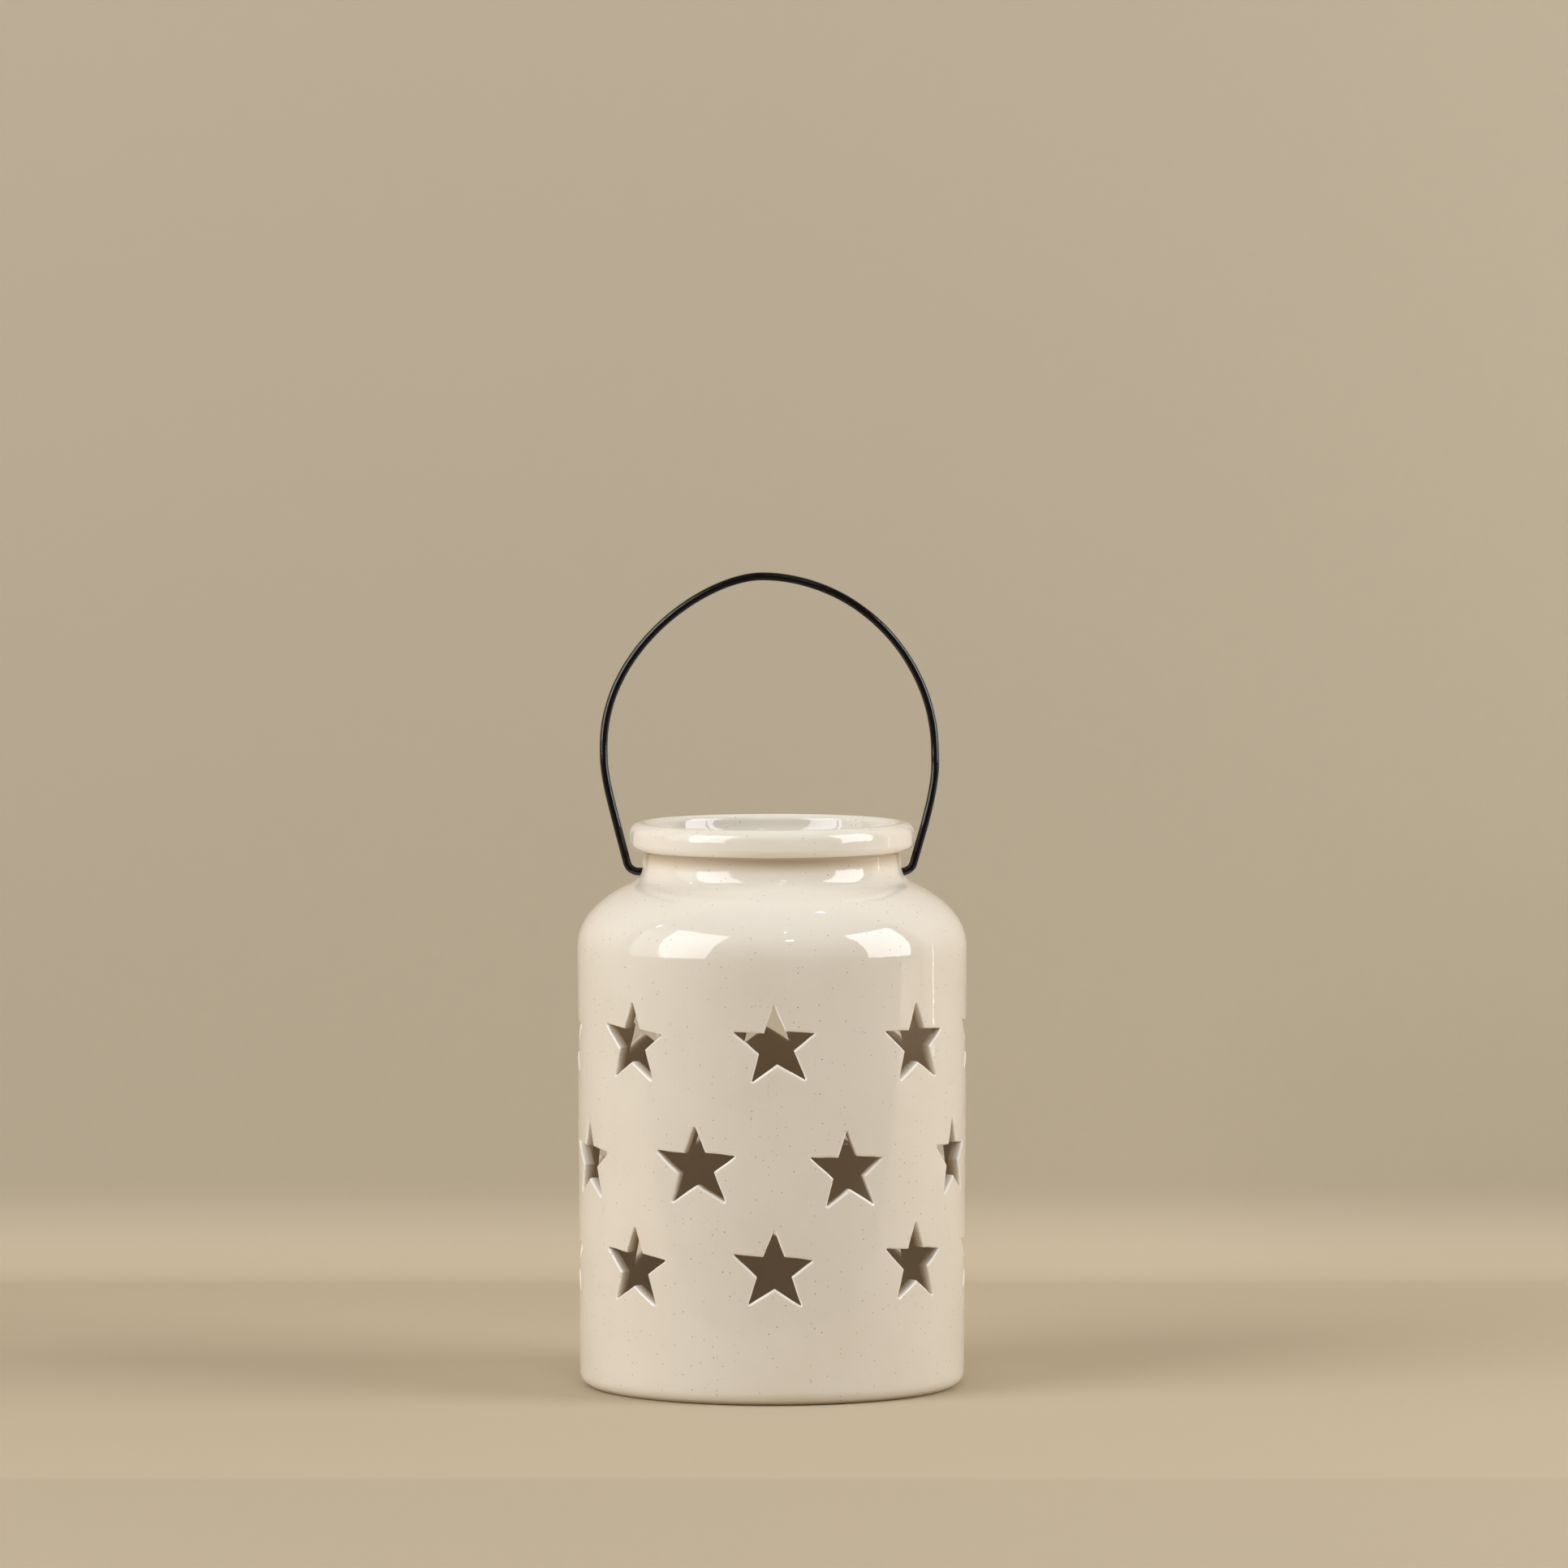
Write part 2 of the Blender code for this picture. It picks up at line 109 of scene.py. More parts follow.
def arc(centre: Place, radius: float, start: float, end: float, steps: int) -> list[Place]:
    """Walks along a round stretch of an outline.

    Args:
        centre: The middle of the arc.
        radius: Its radius.
        start: The angle of its first point, in degrees from +X.
        end: The angle of its last point.
        steps: How many stretches it has.

    Returns:
        The arc's points, both ends included.
    """
    angles = [math.radians(start + (end - start) * k / steps) for k in range(steps + 1)]
    return [(centre[0] + radius * math.cos(a), centre[1] + radius * math.sin(a)) for a in angles]


def bezier(start: Place, start_pull: Place, end_pull: Place, end: Place, steps: int) -> list[Place]:
    """Walks along a cubic Bezier stretch.

    Args:
        start: The first point.
        start_pull: The point that the curve leaves towards.
        end_pull: The point that the curve arrives from.
        end: The last point.
        steps: How many stretches it has.

    Returns:
        The curve's points, both ends included.
    """
    corners = [Vector((x, 0.0, z)) for x, z in (start, start_pull, end_pull, end)]
    return [(point.x, point.z) for point in interpolate_bezier(*corners, steps + 1)]


def stretch(start: float, end: float, steps: int) -> list[float]:
    """Divides the way from start to end into equal steps, and returns all the points on it."""
    return [start + (end - start) * k / steps for k in range(steps + 1)]


def without_repeats(points: Sequence[Place], apart: float = SAME_PLACE) -> list[Place]:
    """Drops each point that lies on the one before it.

    Args:
        points: The outline's points.
        apart: The least distance between two points that are kept.

    Returns:
        The points that are left.
    """
    kept = [points[0]]
    for point in points[1:]:
        if math.dist(point, kept[-1]) > apart:
            kept.append(point)
    return kept


def moved_inwards(points: Sequence[Place], thickness: float) -> list[Place]:
    """Moves an outline square to itself, to its right, by a wall's thickness.

    Args:
        points: The outer outline, from top to bottom.
        thickness: The wall's thickness.

    Returns:
        The inner outline.
    """
    moved = []
    for k, (x, z) in enumerate(points):
        before, after = Vector(points[max(k - 1, 0)]), Vector(points[min(k + 1, len(points) - 1)])
        along = (after - before).normalized()
        moved.append((x + along.y * thickness, z - along.x * thickness))
    return moved


def around(azimuth: float, radius: float, height: float) -> Vector:
    """Gives the point at an azimuth in radians, a distance from the axis and a height."""
    return Vector((radius * math.sin(azimuth), -radius * math.cos(azimuth), height))


def azimuth_of(place: Vector) -> float:
    """Gives a point's azimuth in radians, from the front towards +X."""
    return math.atan2(place.x, -place.y)


def wrapped(angle: float) -> float:
    """Brings an angle in radians between minus half a turn and half a turn."""
    return (angle + math.pi) % FULL_TURN - math.pi


def angles_of(outline: np.ndarray) -> np.ndarray:
    """Gives each point's angle, clockwise from straight up, growing along the outline."""
    return np.unwrap(np.arctan2(outline[:, 0], outline[:, 1]))


def reach_of(outline: np.ndarray, aims: np.ndarray) -> np.ndarray:
    """Finds how far a closed outline lies from the origin in each direction.

    Args:
        outline: Its points, clockwise around the origin.
        aims: The directions' angles, clockwise from straight up.

    Returns:
        The distance in each direction.
    """
    angles = angles_of(outline)
    aims = angles[0] + (aims - angles[0]) % FULL_TURN
    behind = np.searchsorted(angles, aims, side="right") - 1
    start = outline[behind]
    along = outline[(behind + 1) % len(outline)] - start
    crossed = start[:, 0] * along[:, 1] - start[:, 1] * along[:, 0]
    return crossed / (np.sin(aims) * along[:, 1] - np.cos(aims) * along[:, 0])


def fanned(inner: Sequence[Place], outer: Sequence[Place], share: float) -> list[Place]:
    """Draws the closed outline that lies a share of the way from one outline to another.

    Args:
        inner: The inner outline, clockwise around the origin from straight up.
        outer: The outer outline, with as many points.
        share: 0 for the inner outline and 1 for the outer one.

    Returns:
        The new outline, which crosses neither of them.
    """
    near, far = np.array(inner), np.array(outer)
    aims = angles_of(near) + share * (angles_of(far) - angles_of(near))
    mixed = (1 - share) * reach_of(near, aims) + share * reach_of(far, aims)
    return list(zip(mixed * np.sin(aims), mixed * np.cos(aims)))


def grow(bm: BMesh, ring: Sequence[BMVert], places: Sequence[Vector]) -> list[BMVert]:
    """Extrudes a closed ring of edges and moves the new ring to its places.

    Args:
        bm: The mesh in work.
        ring: The ring's vertices in order.
        places: Where each one's copy goes.

    Returns:
        The new ring, in the same order.
    """
    edges = [bm.edges.get((a, b)) for a, b in zip(ring, [*ring[1:], ring[0]])]
    made = bmesh.ops.extrude_edge_only(bm, edges=edges)["geom"]
    fresh = {part for part in made if isinstance(part, BMVert)}
    grown = []
    for vertex, place in zip(ring, places):
        copy = next(e.other_vert(vertex) for e in vertex.link_edges if e.other_vert(vertex) in fresh)
        copy.co = place
        grown.append(copy)
    return grown


def turned(rows: Sequence[Place], columns: int) -> tuple[BMesh, dict[tuple[int, int], BMVert]]:
    """Spins a section about Z into a closed skin.

    Args:
        rows: The section's points, as distance from the axis and height.
        columns: How many steps the full turn has.

    Returns:
        The mesh, and its vertices by row and column; column 0 is at the front.
    """
    bm = bmesh.new()
    row_of = bm.verts.layers.int.new("row")
    section = [bm.verts.new((x, 0.0, z)) for x, z in rows]
    for k, vertex in enumerate(section):
        vertex[row_of] = k
    edges = [bm.edges.new(pair) for pair in zip(section, section[1:])]
    bmesh.ops.spin(
        bm,
        geom=[*section, *edges],
        cent=(0.0, 0.0, 0.0),
        axis=(0.0, 0.0, 1.0),
        angle=FULL_TURN,
        steps=columns,
        use_merge=True,
    )
    poles = [vertex for vertex in bm.verts if vertex.co.xy.length < SAME_PLACE]
    if poles:
        bmesh.ops.remove_doubles(bm, verts=poles, dist=SAME_PLACE)
    grid = {}
    for vertex in bm.verts:
        if vertex.co.xy.length > SAME_PLACE:
            column = round(azimuth_of(vertex.co) / FULL_TURN * columns) % columns
            grid[vertex[row_of], column] = vertex
    return bm, grid


def swept(path: Sequence[Vector], radii: Sequence[float], sides: int, twist: float = 0.0) -> BMesh:
    """Sweeps a round section along a path and closes both ends.

    Args:
        path: The centre line's points.
        radii: The section's radius at each point.
        sides: How many sides the section has.
        twist: How far the section turns about the path from end to end, in radians.

    Returns:
        The closed tube.
    """
    bm = bmesh.new()
    ring = bmesh.ops.create_circle(bm, segments=sides, radius=radii[0])["verts"]
    for k, (centre, radius) in enumerate(zip(path, radii)):
        along = (path[min(k + 1, len(path) - 1)] - path[max(k - 1, 0)]).normalized()
        across = along.cross(Vector((0.0, 1.0, 0.0))).normalized()
        other = across.cross(along)
        turn = twist * k / (len(path) - 1)
        places = []
        for side in range(sides):
            angle = turn + FULL_TURN * side / sides
            places.append(centre + radius * (math.cos(angle) * across + math.sin(angle) * other))
        if k == 0:
            for vertex, place in zip(ring, places):
                vertex.co = place
        else:
            ring = grow(bm, ring, places)
    bmesh.ops.holes_fill(bm, edges=[edge for edge in bm.edges if edge.is_boundary], sides=0)
    return bm


def as_object(bm: BMesh, name: str, material: bpy.types.Material) -> bpy.types.Object:
    """Makes a smooth object of a mesh and puts it in the scene.

    Args:
        bm: The mesh, which is freed.
        name: The object's name.
        material: Its material.

    Returns:
        The object.
    """
    mesh = bpy.data.meshes.new(name)
    bm.to_mesh(mesh)
    bm.free()
    mesh.shade_smooth()
    mesh.materials.append(material)
    made = bpy.data.objects.new(name, mesh)
    bpy.context.scene.collection.objects.link(made)
    return made


def finished(
    bm: BMesh, name: str, material: bpy.types.Material, body: Body, nodes: Iterable[str]
) -> bpy.types.Object:
    """Makes a piece of a mesh, dresses it and seats it on its body.

    Args:
        bm: The piece's mesh, which is freed.
        name: The piece's name.
        material: Its finish.
        body: The body that it rides on.
        nodes: The nodes that it stands for.

    Returns:
        The finished object.
    """
    bmesh.ops.recalc_face_normals(bm, faces=bm.faces[:])
    piece = as_object(bm, name, material)
    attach(piece, body.value)
    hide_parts(*nodes)
    log.info("%s: %d faces, rides on %s", name, len(piece.data.polygons), body.value)
    return piece


class NodeBoard:
    """Adds and links the nodes of one shader tree."""

    def __init__(self, tree: bpy.types.NodeTree) -> None:
        """Starts on a tree."""
        self.tree = tree

    def connect(self, node: bpy.types.Node, **sockets: Any) -> None:
        """Sets or links the inputs of a node.

        Args:
            node: The node.
            **sockets: A value or a source socket for each input, by name with _ for a space,
                or by i and its number.
        """
        for name, value in sockets.items():
            numbered = name[0] == "i" and name[1:].isdigit()
            socket = node.inputs[int(name[1:]) if numbered else name.replace("_", " ")]
            if isinstance(value, bpy.types.NodeSocket):
                self.tree.links.new(value, socket)
            else:
                socket.default_value = value

    def add(self, kind: str, settings: dict[str, Any] | None = None, **sockets: Any) -> bpy.types.Node:
        """Adds a node.

        Args:
            kind: The node's type, without its ShaderNode prefix.
            settings: The node's own properties.
            **sockets: Its inputs, as connect takes them.

        Returns:
            The new node.
        """
        node = self.tree.nodes.new(kind if kind.startswith("Node") else f"ShaderNode{kind}")
        for name, value in (settings or {}).items():
            setattr(node, name, value)
        self.connect(node, **sockets)
        return node

    def math(self, operation: str, *values: Any, clamp: bool = False) -> bpy.types.NodeSocket:
        """Adds a Math node and returns its result."""
        sockets = {f"i{k}": value for k, value in enumerate(values)}
        return self.add("Math", {"operation": operation, "use_clamp": clamp}, **sockets).outputs[0]

    def rest(self, share: Any) -> bpy.types.NodeSocket:
        """Gives what a share leaves of 1."""
        return self.math("SUBTRACT", 1.0, share)

    def blend(self, share: Any, first: Any, second: Any) -> bpy.types.NodeSocket:
        """Mixes two colours.

        Args:
            share: How much of the second colour there is.
            first: The first colour, or its socket.
            second: The second colour, or its socket.

        Returns:
            The mixed colour.
        """
        colours = [c if isinstance(c, bpy.types.NodeSocket) else (*c, 1.0) for c in (first, second)]
        node = self.add("Mix", {"data_type": "RGBA"}, i0=share, i6=colours[0], i7=colours[1])
        return node.outputs[2]

    def fade(self, value: Any, low: float, high: float) -> bpy.types.NodeSocket:
        """Turns a value into a smooth step from 0 at low to 1 at high, and returns it."""
        node = self.add("MapRange", {"interpolation_type": "SMOOTHSTEP"}, i0=value, i1=low, i2=high)
        return node.outputs[0]

    def band(self, value: Any, limits: Sequence[float]) -> bpy.types.NodeSocket:
        """Turns a value into 1 between the two middle limits, fading to 0 at the outer ones."""
        rise, fall = self.fade(value, *limits[:2]), self.fade(value, *limits[2:])
        return self.math("SUBTRACT", rise, fall)

    def noise(self, vector: Any, scale: Any, detail: float = 2.0) -> bpy.types.NodeSocket:
        """Adds a Noise Texture and returns its value."""
        return self.add("TexNoise", Vector=vector, Scale=scale, Detail=detail).outputs[0]


class SharedGroup(NodeBoard):
    """The board of a node group that several finishes share."""

    def __init__(self, name: str, output: str, colours: Sequence[str], floats: Sequence[str]) -> None:
        """Starts the group with its sockets, after one for the piece's coordinates.

        Args:
            name: The group's name.
            output: The name of its output, a colour where it takes colours and else a number.
            colours: The names of its colour inputs.
            floats: The names of its number inputs.
        """
        super().__init__(bpy.data.node_groups.new(name, "ShaderNodeTree"))
        kinds = {"Vector": SocketKind.VECTOR}
        kinds |= dict.fromkeys(colours, SocketKind.COLOUR) | dict.fromkeys(floats, SocketKind.FLOAT)
        for label, kind in kinds.items():
            self.tree.interface.new_socket(label, in_out="INPUT", socket_type=kind.value)
        kind = SocketKind.COLOUR if colours else SocketKind.FLOAT
        self.tree.interface.new_socket(output, in_out="OUTPUT", socket_type=kind.value)
        self.given = self.add("NodeGroupInput").outputs
        self.result = self.add("NodeGroupOutput")

    def giving(self, value: bpy.types.NodeSocket) -> bpy.types.NodeTree:
        """Links the group's output, and returns the group."""
        self.connect(self.result, i0=value)
        return self.tree


class Effects:
    """The node groups that several finishes share."""

    cloud_edges: Place = (0.35, 0.68)
    cloud_detail: float = 3.0
    speck_softness: float = 0.5

    def __init__(self) -> None:
        """Builds each group once."""
        self.mottle = self.build_mottle()
        self.specks = self.build_specks()
        self.relief = self.build_relief()

    def build_mottle(self) -> bpy.types.NodeTree:
        """Builds the soft cloudy change from one colour to another.

        Returns:
            The group.
        """
        board = SharedGroup("soft_mottle", "Colour", ("Colour", "Cloud Colour"), ("Scale", "Amount"))
        given = board.given
        cloud = board.noise(given["Vector"], given["Scale"], detail=self.cloud_detail)
        share = board.math("MULTIPLY", board.fade(cloud, *self.cloud_edges), given["Amount"])
        return board.giving(board.blend(share, given["Colour"], given["Cloud Colour"]))

    def build_specks(self) -> bpy.types.NodeTree:
        """Builds the mask of scattered specks.

        Returns:
            The group.
        """
        board = SharedGroup("scattered_specks", "Mask", (), ("Cells per Metre", "Size", "Kept"))
        given = board.given
        cells = board.add("TexVoronoi", Vector=given["Vector"], Scale=given["Cells per Metre"])
        chance = board.add("SeparateColor", Color=cells.outputs["Color"])
        size = board.math("MULTIPLY", given["Size"], chance.outputs[1])
        inside = board.math("SUBTRACT", size, cells.outputs["Distance"])
        soft = board.math("DIVIDE", inside, board.math("MULTIPLY", size, self.speck_softness), clamp=True)
        kept = board.math("LESS_THAN", chance.outputs[0], given["Kept"])
        return board.giving(board.math("MULTIPLY", soft, kept))

    def build_relief(self) -> bpy.types.NodeTree:
        """Builds the height of a fine uneven surface.

        Returns:
            The group.
        """
        board = SharedGroup("fine_relief", "Height", (), ("Coarse Scale", "Fine Scale", "Fine Share"))
        given = board.given
        coarse = board.noise(given["Vector"], given["Coarse Scale"])
        fine = board.noise(given["Vector"], given["Fine Scale"])
        fine_part = board.math("MULTIPLY", fine, given["Fine Share"])
        return board.giving(board.math("ADD", coarse, fine_part))


@dataclass(frozen=True)
class Clouds:
    """A second colour that comes and goes softly."""

    colour: Colour
    per_metre: float
    amount: float


@dataclass(frozen=True)
class Specks:
    """Specks scattered one to a cell, in a share of the cells."""

    cells_per_metre: float
    size: float
    kept: float
    strength: float


@dataclass(frozen=True)
class Relief:
    """A fine unevenness, with coarse and fine waves."""

    coarse_per_metre: float
    fine_per_metre: float
    fine_share: float
    depth: float


class Coat(NodeBoard):
    """A new material's board, with its shader and the piece's own coordinates."""

    def __init__(self, name: str, effects: Effects | None = None) -> None:
        """Starts the material.

        Args:
            name: The material's name.
            effects: The node groups that it can use.
        """
        self.material = bpy.data.materials.new(name)
        self.material.use_nodes = True
        super().__init__(self.material.node_tree)
        self.effects = effects
        self.shader = self.tree.nodes["Principled BSDF"]
        self.place = self.add("TexCoord").outputs["Object"]

    def group(self, effect: bpy.types.NodeTree, **sockets: Any) -> bpy.types.NodeSocket:
        """Places one of the shared groups and returns its output."""
        return self.add("Group", {"node_tree": effect}, Vector=self.place, **sockets).outputs[0]

    def mottled(self, colour: Colour, clouds: Clouds) -> bpy.types.NodeSocket:
        """Gives a colour with soft clouds of another one.

        Args:
            colour: The colour between the clouds.
            clouds: The clouds.

        Returns:
            The mottled colour.
        """
        return self.group(
            self.effects.mottle,
            Colour=(*colour, 1.0),
            Cloud_Colour=(*clouds.colour, 1.0),
            Scale=clouds.per_metre,
            Amount=clouds.amount,
        )

    def speckled(self, specks: Specks) -> bpy.types.NodeSocket:
        """Gives the mask of scattered specks.

        Args:
            specks: The specks.

        Returns:
            The mask, as strong as the specks are.
        """
        mask = self.group(
            self.effects.specks,
            Cells_per_Metre=specks.cells_per_metre,
            Size=specks.size,
            Kept=specks.kept,
        )
        return self.math("MULTIPLY", mask, specks.strength)

    def bumped(self, relief: Relief) -> bpy.types.NodeSocket:
        """Gives the normal of a finely uneven surface.

        Args:
            relief: The unevenness.

        Returns:
            The bumped normal.
        """
        height = self.group(
            self.effects.relief,
            Coarse_Scale=relief.coarse_per_metre,
            Fine_Scale=relief.fine_per_metre,
            Fine_Share=relief.fine_share,
        )
        return self.add("Bump", Height=height, Distance=relief.depth, Strength=1.0).outputs[0]

    def worn(self, **sockets: Any) -> bpy.types.Material:
        """Sets or links the shader's inputs, and returns the material."""
        self.connect(self.shader, **sockets)
        return self.material


@dataclass(frozen=True)
class Finish(ABC):
    """A finish that a piece can wear."""

    effects: Effects

    @abstractmethod
    def material(self) -> bpy.types.Material:
        """Builds the finish and returns it."""


@dataclass(frozen=True)
class CreamGlaze(Finish):
    """The pot's glossy cream glaze, with small iron specks and a bare foot ring, and with light and shade
    painted into its colour: a lighter top, a darker brown inside that is partly painted shade, a shaded
    groove under the rim and highlighted cut edges.
    """

    cream: Colour = (0.755, 0.69, 0.58)
    clouds: Clouds = Clouds((0.715, 0.645, 0.53), 28.0, 0.6)
    # Painted light: the shoulder and neck are painted a lighter cream, for the stronger light that falls
    # on the pot's top.
    painted_top_light: Colour = (0.85, 0.785, 0.675)
    painted_top_light_heights: Place = (0.150, 0.190)
    painted_top_light_share: float = 0.8
    # Partly painted shade: the pot's inside below the shoulder, and the inner part of each cut wall, take
    # a darker brown. This is partly the inside's warmer tone and partly the shade where little light
    # reaches.
    inside: Colour = (0.59, 0.475, 0.33)
    inside_radii: Place = (0.0693, 0.0711)
    inside_heights: Place = (0.150, 0.172)
    # Painted shade: a darker brown band on the neck just under the rim, for the shadow that the rim casts
    # there.
    painted_groove_shade: Colour = (0.56, 0.46, 0.335)
    groove_radii: tuple[float, ...] = (0.0465, 0.0478, 0.0500, 0.0515)
    groove_heights: tuple[float, ...] = (0.1935, 0.1985, 0.2005, 0.2020)
    # Painted highlight: the rounded edges of the star cuts take a whiter cream, for the light that they
    # catch.
    painted_edge_highlight: Colour = (0.95, 0.90, 0.81)
    iron: Colour = (0.16, 0.12, 0.09)
    fine_specks: Specks = Specks(640.0, 0.24, 0.34, 0.62)
    large_specks: Specks = Specks(330.0, 0.12, 0.36, 0.85)
    clay: Colour = (0.62, 0.50, 0.36)
    bare_height: float = 0.0006
    bare_roughness: float = 0.6
    roughness: float = 0.035
    peel: Relief = Relief(160.0, 900.0, 0.12, 0.00006)
    refraction: float = 1.6

    def material(self) -> bpy.types.Material:
        """Builds the glaze, layer over layer.

        Returns:
            The material.
        """
        coat = Coat("cream_glaze", self.effects)
        apart = coat.add("SeparateXYZ", Vector=coat.place)
        flat = coat.add("CombineXYZ", X=apart.outputs[0], Y=apart.outputs[1])
        radius = coat.add("VectorMath", {"operation": "LENGTH"}, i0=flat.outputs[0]).outputs["Value"]
        height = apart.outputs[2]
        # Painted light: the top gets lighter, fading in with height up the shoulder.
        painted_top_light_mask = coat.math("MULTIPLY", coat.fade(height, *self.painted_top_light_heights), self.painted_top_light_share)
        # Partly painted shade: the inside and the inner cut walls darken to brown.
        within = coat.rest(coat.fade(radius, *self.inside_radii))
        inside_brown_and_shade = coat.math("MULTIPLY", within, coat.rest(coat.fade(height, *self.inside_heights)))
        # Painted shade under the rim, in a band beside the neck.
        beside_neck = coat.band(radius, self.groove_radii)
        painted_groove_shade_mask = coat.math("MULTIPLY", beside_neck, coat.band(height, self.groove_heights))
        # The cut edge share says where the painted edge highlight goes.
        edge = coat.add("Attribute", {"attribute_name": CUT_EDGE}).outputs["Fac"]
        fine, large = coat.speckled(self.fine_specks), coat.speckled(self.large_specks)
        bare = coat.rest(coat.fade(height, self.bare_height, 2 * self.bare_height))
        layers = (
            (painted_top_light_mask, self.painted_top_light),
            (inside_brown_and_shade, self.inside),
            (painted_groove_shade_mask, self.painted_groove_shade),
            (edge, self.painted_edge_highlight),
            (coat.math("ADD", fine, large, clamp=True), self.iron),
            (bare, self.clay),
        )
        colour = coat.mottled(self.cream, self.clouds)
        for share, layer in layers:
            colour = coat.blend(share, colour, layer)
        return coat.worn(
            Base_Color=colour,
            Roughness=coat.math("ADD", self.roughness, coat.math("MULTIPLY", bare, self.bare_roughness)),
            Normal=coat.bumped(self.peel),
            IOR=self.refraction,
        )


@dataclass(frozen=True)
class BlackWirePaint(Finish):
    """The handle's gloss black paint, a little uneven and dusty."""

    black: Colour = (0.006, 0.0055, 0.005)
    dust: Colour = (0.05, 0.044, 0.036)
    dust_specks: Specks = Specks(900.0, 0.2, 0.25, 0.5)
    roughness: float = 0.1
    dull_roughness: float = 0.1
    dull_per_metre: float = 220.0
    dull_edges: Place = (0.4, 0.7)
    sag: Relief = Relief(240.0, 1500.0, 0.2, 0.00012)

    def material(self) -> bpy.types.Material:
        """Builds the paint.

        Returns:
            The material.
        """
        coat = Coat("black_wire_paint", self.effects)
        dull = coat.fade(coat.noise(coat.place, self.dull_per_metre), *self.dull_edges)
        return coat.worn(
            Base_Color=coat.blend(coat.speckled(self.dust_specks), self.black, self.dust),
            Roughness=coat.math("ADD", self.roughness, coat.math("MULTIPLY", dull, self.dull_roughness)),
            Normal=coat.bumped(self.sag),
        )


@dataclass(frozen=True)
class SheetMetal(Finish):
    """Thin bright sheet metal, for the tealight's cup and its sustainer."""

    name: str = "tealight_foil"
    metal: Colour = (0.83, 0.84, 0.85)
    stain: Colour = (0.70, 0.71, 0.72)
    roughness: float = 0.24
    stain_per_metre: float = 180.0
    stain_amount: float = 0.7
    dull_roughness: float = 0.16
    dull_per_metre: float = 260.0
    creases: Relief = Relief(300.0, 2400.0, 0.3, 0.00008)

    def material(self) -> bpy.types.Material:
        """Builds the metal.

        Returns:
            The material.
        """
        coat = Coat(self.name, self.effects)
        stains = Clouds(self.stain, self.stain_per_metre, self.stain_amount)
        dull = coat.math("MULTIPLY", coat.noise(coat.place, self.dull_per_metre), self.dull_roughness)
        return coat.worn(
            Base_Color=coat.mottled(self.metal, stains),
            Roughness=coat.math("ADD", self.roughness, dull),
            Normal=coat.bumped(self.creases),
            Metallic=1.0,
        )


@dataclass(frozen=True)
class CandleWax(Finish):
    """Unburnt white wax with a faint bloom."""

    white: Colour = (0.86, 0.84, 0.78)
    bloom: Clouds = Clouds((0.92, 0.91, 0.88), 240.0, 0.8)
    roughness: float = 0.42
    ripple: Relief = Relief(150.0, 1800.0, 0.2, 0.00015)
    glow: float = 0.25
    glow_reach: tuple[float, ...] = (0.004, 0.003, 0.002)

    def material(self) -> bpy.types.Material:
        """Builds the wax.

        Returns:
            The material.
        """
        coat = Coat("candle_wax", self.effects)
        return coat.worn(
            Base_Color=coat.mottled(self.white, self.bloom),
            Roughness=self.roughness,
            Normal=coat.bumped(self.ripple),
            Subsurface_Weight=self.glow,
            Subsurface_Radius=self.glow_reach,
        )


@dataclass(frozen=True)
class CottonWick(Finish):
    """Waxed white cotton with its fibres."""

    cotton: Colour = (0.80, 0.77, 0.69)
    shade: Clouds = Clouds((0.62, 0.57, 0.47), 1600.0, 0.8)
    roughness: float = 0.85
    fibres: Relief = Relief(1800.0, 6000.0, 0.5, 0.0002)

    def material(self) -> bpy.types.Material:
        """Builds the cotton.

        Returns:
            The material.
        """
        coat = Coat("cotton_wick", self.effects)
        return coat.worn(
            Base_Color=coat.mottled(self.cotton, self.shade),
            Roughness=self.roughness,
            Normal=coat.bumped(self.fibres),
        )


class Opening(ABC):
    """An opening through the wall, drawn flat on it: across to the right, and up."""

    fan_margin: float

    @abstractmethod
    def ring(self, spread: float) -> list[Vector]:
        """Gives the opening's outline, widened by spread, clockwise from its top."""


@dataclass(frozen=True)
class StarCut:
    """How one star was cut by hand, with its turn and roll in degrees."""

    turn: float
    lift: float
    roll: float
    width: float
    size: float = 1.0
    crowded: bool = False


